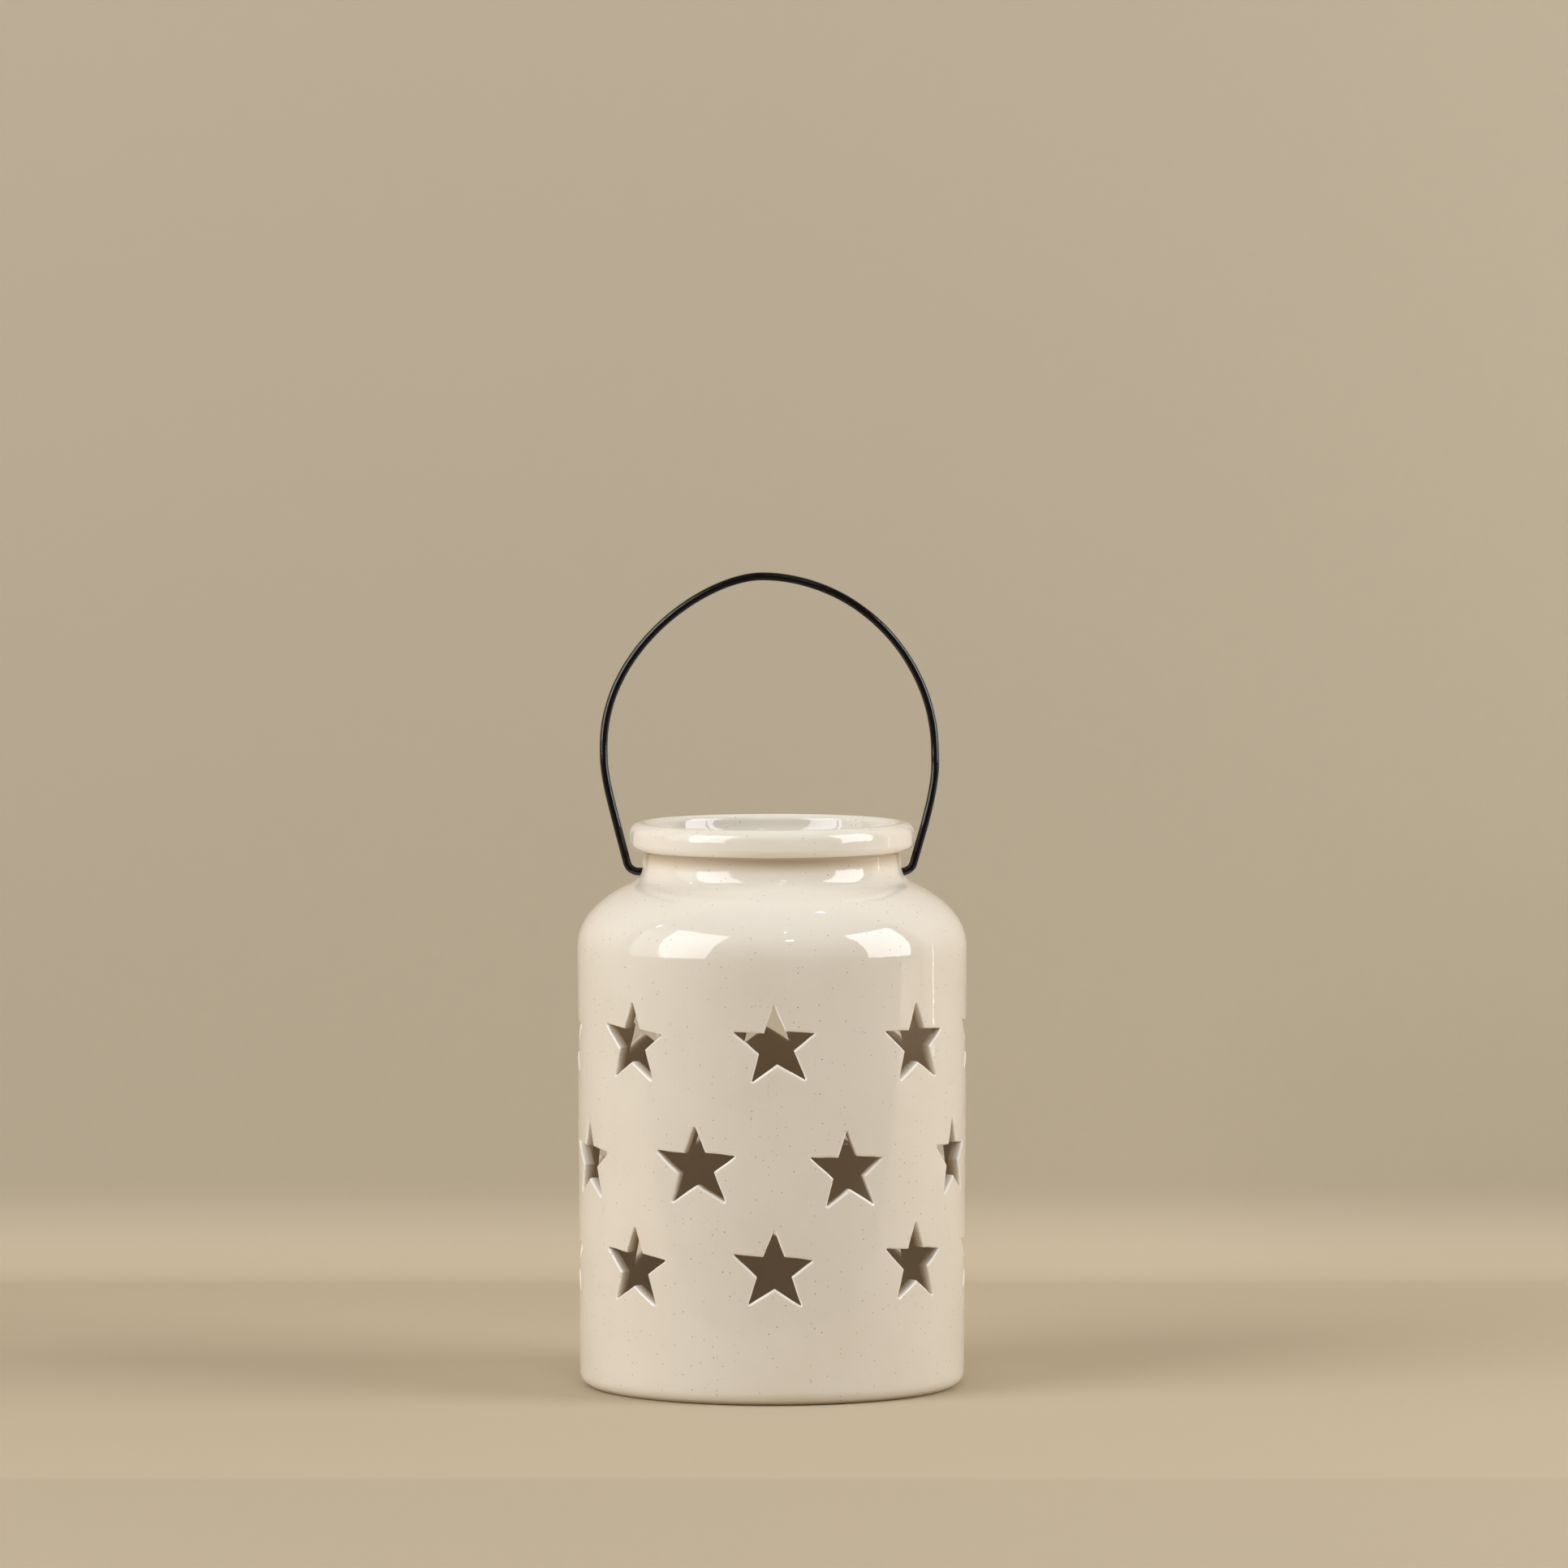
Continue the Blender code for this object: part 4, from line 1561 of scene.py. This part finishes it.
@dataclass
class WireHandle:
    """The handle: one length of painted wire that swings in the neck's two holes."""

    finish: BlackWirePaint
    pot: GlazedPot
    crown_height: float
    wire_radius: float = 0.0015
    crown_lean: float = -0.0034
    outer_bend: float = 0.0045
    inner_bend: float = 0.003
    inner_reach: float = 0.0055
    tip_length: float = 0.0045
    end_round: float = 0.0005
    end_start: float = math.radians(18)
    sides: int = 20
    steps: WireSteps = WireSteps()
    hand_bend: float = 0.00012
    hand_bend_length: float = 26 * MM
    paint_wave: float = 0.00003
    paint_wave_length: float = 9 * MM
    left: Leg = Leg(Side.LEFT, math.radians(14.7), 0.0021, 0.00605, 0.0471, 0.346, 0.578, 0.276, 0.653)
    right: Leg = Leg(Side.RIGHT, math.radians(16.0), 0.00105, 0.0051, 0.0441, 0.539, 0.573, 0.147, 0.723)

    def leg_path(self, leg: Leg) -> list[Place]:
        """Draws one side's centre line, with heights above the pivot.

        Args:
            leg: The side's sizes.

        Returns:
            The points from the crown to the wire's tip.
        """
        pot, sign, steps = self.pot, leg.side.value, self.steps
        crown = (self.crown_lean, self.crown_height - pot.pivot_height - self.wire_radius)
        rim_up = pot.height - pot.rim_height / 2 - pot.pivot_height
        rim_x = pot.neck_radius + pot.rim_overhang + self.wire_radius + leg.rim_gap
        half_width = rim_x + leg.bulge
        widest, beside_rim = (sign * half_width, leg.widest_above_pivot), (sign * rim_x, rim_up)
        above, below = crown[1] - widest[1], widest[1] - rim_up
        crown_pull = (crown[0] + sign * leg.crown_pull * half_width, crown[1])
        upper_pull = (widest[0], widest[1] + leg.upper_pull * above)
        lower_pull = (widest[0], widest[1] - leg.lower_pull * below)
        reach = leg.rim_pull * below
        rim_pull = (beside_rim[0] + sign * math.sin(leg.lean) * reach, rim_up + math.cos(leg.lean) * reach)
        path = bezier(crown, crown_pull, upper_pull, widest, steps.crown)
        path += bezier(widest, lower_pull, rim_pull, beside_rim, steps.leg)
        degrees, outer, inner = math.degrees(leg.lean), self.outer_bend, self.inner_bend
        corner_x = rim_x - rim_up * math.tan(leg.lean)
        bend_x = corner_x - outer * math.tan(math.radians(90 - degrees) / 2)
        tip_x = pot.neck_radius - pot.wall_thickness - self.inner_reach
        bends = arc((bend_x, outer), outer, -degrees, -90, steps.outer_bend)
        bends += [(x, 0.0) for x in stretch(bend_x, tip_x + inner, steps.through_neck)]
        bends += arc((tip_x + inner, inner), inner, -90, -180, steps.inner_bend)
        bends += [(tip_x, inner + rise) for rise in stretch(0.0, self.tip_length, steps.tip)]
        return without_repeats(path + [(sign * x, z) for x, z in bends])

    def bowed(self, point: Vector) -> Vector:
        """Bends the wire a little by hand above the rim.

        Args:
            point: A point of its centre line.

        Returns:
            Where the point goes.
        """
        above = max(0.0, point.z - self.pot.height) / (self.crown_height - self.pot.height)
        bend = self.hand_bend * math.sqrt(above)
        return point + bend * noise.noise_vector(point / self.hand_bend_length)

    def build(self) -> bpy.types.Object:
        """Bends, rounds off and paints the wire.

        Returns:
            The handle.
        """
        flat = self.leg_path(self.left)[::-1] + self.leg_path(self.right)[1:]
        path = [self.bowed(Vector((x, 0.0, z + self.pot.pivot_height))) for x, z in flat]
        waves = [noise.noise(point / self.paint_wave_length) for point in path]
        radii = [self.wire_radius + self.paint_wave * wave for wave in waves]
        for end in (0, -1):
            self.round_off(path, radii, end)
        bm = swept(path, radii, self.sides)
        material = self.finish.material()
        return finished(bm, "painted_wire_handle", material, Body.HANDLE, ["wire_handle"])

    def round_off(self, path: list[Vector], radii: list[float], end: int) -> None:
        """Adds the rounded, cut end of the wire to its path.

        Args:
            path: The centre line, which gets the new points.
            radii: The radius at each point, which gets the new radii.
            end: The end's index, 0 or -1.
        """
        tip, before = path[end], path[1 if end == 0 else -2]
        along = (tip - before).normalized()
        base = tip - self.end_round * along
        path[end] = base
        for bend in stretch(self.end_start, math.radians(90), self.steps.end):
            spot = base + self.end_round * math.sin(bend) * along
            size = self.wire_radius - self.end_round * (1 - math.cos(bend))
            path.insert(0 if end == 0 else len(path), spot)
            radii.insert(0 if end == 0 else len(radii), size)


@dataclass(frozen=True)
class TealightSteps:
    """How many steps the stretches of the tealight's sections have."""

    cup_inside: int = 14
    cup_inner_corner: int = 4
    cup_side: int = 16
    cup_bead: int = 12
    cup_corner: int = 5
    cup_foot: int = 10
    per_flute: int = 5
    wax_top: int = 28
    wax_around: int = 96
    wick_in_wax: int = 40
    wick_above: int = 44
    wick_sides: int = 24
    collar_fillet: int = 4
    sheet_edge: int = 6
    sustainer_around: int = 64


@dataclass
class Tealight:
    """An unlit tealight: a pressed cup, its wax, the wick and the sustainer below it."""

    effects: Effects
    stand: float
    cup_radius: float
    cup_height: float
    steps: TealightSteps = TealightSteps()
    cup_wall: float = 0.0004
    cup_foot_round: float = 0.0012
    cup_lip: float = 0.0007
    bead_swell: float = 0.0001
    bead_start: float = 150.0
    flutes: int = 48
    flute_depth: float = 0.00014
    fluted_part: Place = (0.12, 0.86)
    wax_below_lip: float = 0.0025
    wax_bevel: float = 0.0012
    wax_sag: float = 0.0003
    wax_wave: float = 0.00012
    wax_wave_length: float = 6 * MM
    wax_wave_reach: float = 0.001
    meniscus: float = 0.0006
    wick_meniscus_share: float = 0.6
    climb_at_cup: float = 0.0009
    climb_at_wick: float = 0.0011
    wax_hole_edge: float = 0.0002
    seat_gap: float = 0.0003
    wick_radius: float = 0.0008
    wick_above_wax: float = 0.0085
    wick_lean: float = 0.0016
    wick_fill: float = 0.97
    wick_tip_fill: float = 0.8
    strands: int = 3
    strand_depth: float = 0.10
    strand_pitch: float = 3.2 * MM
    sustainer_radius: float = 0.0065
    sustainer_sheet: float = 0.0004
    collar_wall: float = 0.0005
    collar_height: float = 0.0035
    collar_bevel: float = 0.0001
    collar_fillet: float = 0.0004

    def raised(self, rows: Iterable[Place]) -> list[Place]:
        """Moves a section from the tealight's own foot to where it stands."""
        return [(x, z + self.stand) for x, z in rows]

    def ring_of(self, rows: Sequence[Place], columns: int) -> BMesh:
        """Spins a closed section where the tealight stands.

        Args:
            rows: The section's points.
            columns: How many steps the full turn has.

        Returns:
            The closed ring.
        """
        bm, _ = turned(self.raised([*rows, rows[0]]), columns)
        bmesh.ops.remove_doubles(bm, verts=bm.verts[:], dist=WELD_REACH)
        return bm

    def inside_radius(self) -> float:
        """Gives the cup's inner radius."""
        return self.cup_radius - self.cup_lip - self.cup_wall

    def wax_top(self) -> float:
        """Gives the height of the wax above the tealight's foot."""
        return self.cup_height - self.wax_below_lip

    def build_cup(self) -> bpy.types.Object:
        """Presses the fluted cup with its rolled lip.

        Returns:
            The cup.
        """
        steps, wall, corner = self.steps, self.cup_wall, self.cup_foot_round
        inside, outside = self.inside_radius(), self.cup_radius - self.cup_lip
        inner_round = corner - wall
        bead = self.cup_lip / 2
        bead_centre = (self.cup_radius - bead, self.cup_height - bead)
        rows = [(x, wall) for x in stretch(0.0, inside - inner_round, steps.cup_inside)]
        rows += arc((inside - inner_round, corner), inner_round, -90, 0, steps.cup_inner_corner)
        rows += [(inside, z) for z in stretch(corner, self.cup_height - 2 * bead, steps.cup_side)]
        rows += arc(bead_centre, bead + self.bead_swell, self.bead_start, -90, steps.cup_bead)
        rows += [(outside, z) for z in stretch(self.cup_height - 3 * bead, corner, steps.cup_side)]
        rows += arc((outside - corner, corner), corner, 0, -90, steps.cup_corner)
        rows += [(x, 0.0) for x in stretch(outside - corner, 0.0, steps.cup_foot)[1:]]
        bm, _ = turned(self.raised(without_repeats(rows)), self.flutes * steps.per_flute)
        low, high = self.fluted_part
        for vertex in bm.verts:
            up = (vertex.co.z - self.stand) / self.cup_height
            away = vertex.co.xy.length
            if away > inside - wall / 2 and low < up < high:
                strength = math.sqrt(math.sin(math.pi * (up - low) / (high - low)))
                flute = math.cos(self.flutes * azimuth_of(vertex.co))
                vertex.co.xy *= 1.0 + self.flute_depth * strength * (flute - 1.0) / away
        foil = SheetMetal(self.effects).material()
        return finished(bm, "pressed_tealight_cup", foil, Body.TEALIGHT, ["tealight_cup"])

    def build_wax(self) -> bpy.types.Object:
        """Pours the wax around the wick and the sustainer.

        Returns:
            The wax.
        """
        top, bevel = self.wax_top(), self.wax_bevel
        bottom = self.cup_wall + self.seat_gap
        outside = self.inside_radius() - self.seat_gap - self.flute_depth * 2
        hole = self.wick_radius + self.seat_gap
        collar = hole + self.collar_wall + self.seat_gap
        pocket = self.sustainer_radius + self.seat_gap
        pocket_top = bottom + self.sustainer_sheet + self.seat_gap
        collar_top = pocket_top + self.collar_height
        rows = [(hole, collar_top), (hole, top + self.meniscus * self.wick_meniscus_share)]
        for x in stretch(hole + self.wax_hole_edge, outside, self.steps.wax_top)[:-1]:
            at_cup = math.exp(-(outside - x) / self.climb_at_cup)
            at_wick = math.exp(-(x - hole) / self.climb_at_wick)
            climb = self.meniscus * (at_cup + self.wick_meniscus_share * at_wick)
            rows.append((x, top + climb - self.wax_sag * math.sin(math.pi * x / outside)))
        rows += [(outside, top + self.meniscus), (outside, bottom + bevel), (outside - bevel, bottom)]
        rows += [(pocket, bottom), (pocket, pocket_top), (collar, pocket_top), (collar, collar_top)]
        bm = self.ring_of(rows, self.steps.wax_around)
        for vertex in bm.verts:
            if vertex.co.z > self.stand + top - self.wax_wave_reach:
                vertex.co.z += self.wax_wave * noise.noise(vertex.co / self.wax_wave_length)
        wax = CandleWax(self.effects).material()
        return finished(bm, "tealight_wax_disc", wax, Body.TEALIGHT, ["tealight_wax"])

    def build_wick(self) -> bpy.types.Object:
        """Braids the wick, which leans a little above the wax.

        Returns:
            The wick.
        """
        wax_top, steps = self.wax_top(), self.steps
        in_wax = stretch(self.cup_wall + 2 * self.seat_gap, wax_top, steps.wick_in_wax)
        path = [Vector((0.0, 0.0, self.stand + z)) for z in in_wax]
        for share in stretch(0.0, 1.0, steps.wick_above)[1:]:
            height = self.stand + wax_top + self.wick_above_wax * share
            path.append(Vector((self.wick_lean * share**2, 0.0, height)))
        radii = [self.wick_radius * self.wick_fill] * len(path)
        radii[-2:] = [self.wick_radius * self.wick_tip_fill] * 2
        bm = swept(path, radii, steps.wick_sides)
        for vertex in bm.verts:
            share = max(0.0, (vertex.co.z - self.stand - wax_top) / self.wick_above_wax)
            centre_x = self.wick_lean * share**2
            across = Vector((vertex.co.x - centre_x, vertex.co.y))
            twist = vertex.co.z / self.strand_pitch * FULL_TURN
            angle = math.atan2(across.y, across.x)
            strand = abs(math.sin(self.strands * angle / 2 + twist / 2))
            across *= 1.0 + (self.strand_depth * strand - self.strand_depth)
            vertex.co.xy = (centre_x + across.x, across.y)
        cotton = CottonWick(self.effects).material()
        return finished(bm, "braided_wick", cotton, Body.TEALIGHT, ["tealight_wick"])

    def build_sustainer(self) -> bpy.types.Object:
        """Stamps the sustainer that holds the wick upright.

        Returns:
            The sustainer.
        """
        bevel, fillet = self.collar_bevel, self.collar_fillet
        bottom = self.cup_wall + self.seat_gap
        sheet_top = bottom + self.sustainer_sheet
        bore = self.wick_radius + self.seat_gap
        collar = bore + self.collar_wall
        top = sheet_top + self.collar_height
        half = self.sustainer_sheet / 2
        rows = [(bore, bottom), (bore, top - bevel), (bore + bevel, top)]
        rows += [(collar - bevel, top), (collar, top - bevel)]
        rows += arc((collar + fillet, sheet_top + fillet), fillet, 180, 270, self.steps.collar_fillet)
        rows += arc((self.sustainer_radius - half, bottom + half), half, 90, -90, self.steps.sheet_edge)
        bm = self.ring_of(rows, self.steps.sustainer_around)
        bright, stained = (0.66, 0.66, 0.64), (0.52, 0.51, 0.48)
        tin = SheetMetal(self.effects, "tinned_steel", bright, stained, roughness=0.30).material()
        return finished(bm, "stamped_sustainer", tin, Body.TEALIGHT, ["wick_sustainer"])

    def build(self) -> list[bpy.types.Object]:
        """Builds the tealight's four pieces and returns them."""
        return [self.build_cup(), self.build_wax(), self.build_wick(), self.build_sustainer()]


@dataclass(frozen=True)
class Softbox:
    """A soft rectangular light, given by the patch of sky that it fills as the pot sees it."""

    name: str
    azimuths: Place
    elevations: Place
    brightness: float
    distance: float = 1.8
    colour: Colour = (0.98, 0.99, 1.03)
    mirrored: bool = True

    def build(self, aim: Vector) -> None:
        """Hangs the light.

        Args:
            aim: The point that it faces.
        """
        azimuth, elevation = (math.radians(sum(pair) / 2) for pair in (self.azimuths, self.elevations))
        width, height = (
            2 * self.distance * math.tan(math.radians(pair[1] - pair[0]) / 2)
            for pair in (self.azimuths, self.elevations)
        )
        width *= math.cos(elevation)
        lamp = bpy.data.lights.new(self.name, "AREA")
        lamp.shape = "RECTANGLE"
        lamp.size, lamp.size_y = width, height
        lamp.energy = self.brightness * math.pi * width * height
        lamp.color = self.colour
        light = bpy.data.objects.new(self.name, lamp)
        bpy.context.scene.collection.objects.link(light)
        flat = self.distance * math.cos(elevation)
        light.location = around(azimuth, flat, self.distance * math.sin(elevation)) + aim
        light.rotation_euler = (aim - light.location).to_track_quat("-Z", "Y").to_euler()
        light.visible_camera = False
        light.visible_glossy = self.mirrored


@dataclass
class Studio:
    """The pale floor, the plain wall behind it, the lights and the camera."""

    floor_colour: Colour = (0.54, 0.445, 0.305)
    wall_colour: Colour = (0.465, 0.40, 0.29)
    card_colour: Colour = (0.02, 0.018, 0.015)
    matt_roughness: float = 0.85
    room_colour: Colour = (1.0, 1.0, 1.0)
    room_light: float = 1.3
    room_left: Place = (0.1, -0.1)
    room_beside: Place = (-0.85, -0.45)
    room_low: Place = (0.9, 0.45)
    floor_half: float = 7.0
    wall_back: float = 0.37
    wall_top: float = 2.6
    wall_foot: Place = (0.02, 0.0002)
    cove: float = 0.035
    cove_steps: int = 12
    cove_fade: float = 1.2
    card_height: float = 0.0004
    dark_from: float = 0.27
    dark_to: float = 3.2
    aim: Vector = field(default_factory=lambda: Vector((0.0, 0.0, 0.18)))
    camera_place: Vector = field(default_factory=lambda: Vector((0.00447, -3.5, 0.4289)))
    camera_pitch: float = math.radians(3.34)
    camera_range: Place = (0.1, 30.0)
    lens: float = 215.8
    sensor: float = 36.0

    def matt(self, name: str, low: Colour, high: Colour, one_sided: bool = False) -> bpy.types.Material:
        """Makes the plain matt paint of a stage piece.

        Args:
            name: The material's name.
            low: Its colour at the floor.
            high: Its colour above the cove.
            one_sided: Whether its back lets the view through.

        Returns:
            The material.
        """
        coat = Coat(name)
        height = coat.add("SeparateXYZ", Vector=coat.place).outputs[2]
        colour = coat.blend(coat.fade(height, 0.0, self.cove_fade * self.cove), low, high)
        if one_sided:
            back = coat.add("NewGeometry").outputs["Backfacing"]
            clear = coat.add("BsdfTransparent").outputs[0]
            mix = coat.add("MixShader", i0=back, i1=coat.shader.outputs[0], i2=clear)
            coat.connect(coat.tree.nodes["Material Output"], Surface=mix.outputs[0])
        return coat.worn(Base_Color=colour, Roughness=self.matt_roughness)

    def staged(self, bm: BMesh, name: str, material: bpy.types.Material) -> bpy.types.Object:
        """Makes a stage piece of a mesh.

        Args:
            bm: The mesh, which is freed.
            name: The piece's name.
            material: Its paint.

        Returns:
            The staged object.
        """
        piece = as_object(bm, name, material)
        return piece

    def build_floor(self) -> None:
        """Lays the floor."""
        bm = bmesh.new()
        bmesh.ops.create_grid(bm, x_segments=1, y_segments=1, size=self.floor_half)
        self.staged(bm, "studio_floor", self.matt("floor_paint", self.floor_colour, self.floor_colour))

    def build_wall(self) -> None:
        """Raises the wall with its cove behind the lantern, facing the front."""
        bm = bmesh.new()
        cove_start = self.wall_back - self.cove
        run, rise = self.wall_foot
        rows = [(cove_start - run, rise)]
        rows += arc((cove_start, self.cove), self.cove, -90, 0, self.cove_steps)
        rows += [(self.wall_back, self.wall_top)]
        points = [bm.verts.new((-self.floor_half, y, z)) for y, z in rows]
        edges = [bm.edges.new(pair) for pair in zip(points, points[1:])]
        made = bmesh.ops.extrude_edge_only(bm, edges=edges)["geom"]
        moved = [part for part in made if isinstance(part, BMVert)]
        bmesh.ops.translate(bm, verts=moved, vec=(2 * self.floor_half, 0.0, 0.0))
        front = Vector((0.0, -1.0, 0.2))
        bm.normal_update()
        turned_round = [face for face in bm.faces if face.normal.dot(front) < 0.0]
        bmesh.ops.reverse_faces(bm, faces=turned_round)
        paint = self.matt("wall_paint", self.floor_colour, self.wall_colour, one_sided=True)
        self.staged(bm, "studio_wall", paint)

    def build_dark_card(self) -> None:
        """Lays the black card in front that the gloss mirrors as the unlit room."""
        bm = bmesh.new()
        bmesh.ops.create_grid(bm, x_segments=1, y_segments=1, size=0.5)
        size = (2 * self.dark_to, self.dark_to - self.dark_from, 1.0)
        middle = (0.0, -(self.dark_from + self.dark_to) / 2, self.card_height)
        bmesh.ops.scale(bm, verts=bm.verts[:], vec=size)
        bmesh.ops.translate(bm, verts=bm.verts[:], vec=middle)
        black = self.matt("card_black", self.card_colour, self.card_colour)
        card = self.staged(bm, "dark_card", black)
        card.visible_camera = False
        card.visible_diffuse = False
        card.visible_shadow = False
        card.visible_transmission = False

    def build_lights(self) -> None:
        """Hangs the softboxes and the small lights whose glints the glaze shows."""
        lights = (
            Softbox("left_softbox", (-72.0, -35.0), (-1.0, 49.0), 3.85),
            Softbox("right_softbox", (56.0, 91.0), (-1.5, 45.0), 5.25),
            Softbox("overhead_softbox", (-35.0, 35.0), (66.0, 97.0), 4.8, mirrored=False),
            Softbox("slit_light", (107.3, 108.2), (-9.0, 7.0), 4.0, distance=0.9),
            Softbox("left_glint", (-97.0, -94.0), (43.5, 46.5), 9.0),
            Softbox("high_glint", (114.0, 122.0), (71.5, 74.5), 9.0),
            Softbox("front_glint", (9.5, 15.5), (37.7, 40.5), 12.0),
            Softbox("upper_front_glint", (9.0, 13.0), (55.5, 58.0), 12.0),
        )
        for light in lights:
            light.build(self.aim)

    def build_room(self) -> None:
        """Lets the room shine from the left, but not from in front or from above."""
        world = bpy.data.worlds.new("studio_room")
        world.use_nodes = True
        board = NodeBoard(world.node_tree)
        towards = board.add("SeparateXYZ", Vector=board.add("TexCoord").outputs["Generated"]).outputs
        left = board.fade(towards[0], *self.room_left)
        beside = board.fade(towards[1], *self.room_beside)
        low = board.fade(towards[2], *self.room_low)
        share = board.math("MULTIPLY", board.math("MULTIPLY", left, beside), low)
        strength = board.math("MULTIPLY", share, self.room_light)
        background = world.node_tree.nodes["Background"]
        board.connect(background, Color=(*self.room_colour, 1.0), Strength=strength)
        bpy.context.scene.world = world

    def build_camera(self) -> None:
        """Sets up the camera at the photograph's viewing angle."""
        lens = bpy.data.cameras.new("studio_camera")
        lens.lens, lens.sensor_width = self.lens, self.sensor
        lens.clip_start, lens.clip_end = self.camera_range
        camera = bpy.data.objects.new("studio_camera", lens)
        bpy.context.scene.collection.objects.link(camera)
        camera.location = self.camera_place
        camera.rotation_euler = (math.pi / 2 - self.camera_pitch, 0.0, 0.0)
        bpy.context.scene.camera = camera

    def build(self) -> None:
        """Sets the whole stage."""
        self.build_camera()
        self.build_floor()
        self.build_wall()
        self.build_dark_card()
        self.build_lights()
        self.build_room()
        bpy.context.scene.view_settings.view_transform = "Standard"
        log.info("stage, lights and camera are set")


def main() -> None:
    """Builds the lantern's sub-assemblies in order, then its stage."""
    logging.basicConfig(level=logging.INFO, format="%(message)s")
    noise.seed_set(NOISE_SEED)
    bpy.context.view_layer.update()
    effects = Effects()
    pot_low, pot_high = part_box("ceramic_pot")
    handle_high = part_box("wire_handle")[1]
    cup_low, cup_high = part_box("tealight_cup")
    swing = next(joint for joint in frame["joints"] if joint["name"] == "handle_swing")
    pot = GlazedPot(
        CreamGlaze(effects),
        wall_radius=(pot_high.x - pot_low.x) / 2,
        height=pot_high.z,
        pivot_height=swing["pos_m"][2],
    )
    handle = WireHandle(BlackWirePaint(effects), pot, crown_height=handle_high.z)
    tealight = Tealight(
        effects,
        stand=cup_low.z,
        cup_radius=(cup_high.x - cup_low.x) / 2,
        cup_height=cup_high.z - cup_low.z,
    )
    pieces = [pot.build(), handle.build(), *tealight.build()]
    log.info("the lantern has %d pieces", len(pieces))
    Studio().build()


if __name__ == "__main__":
    main()
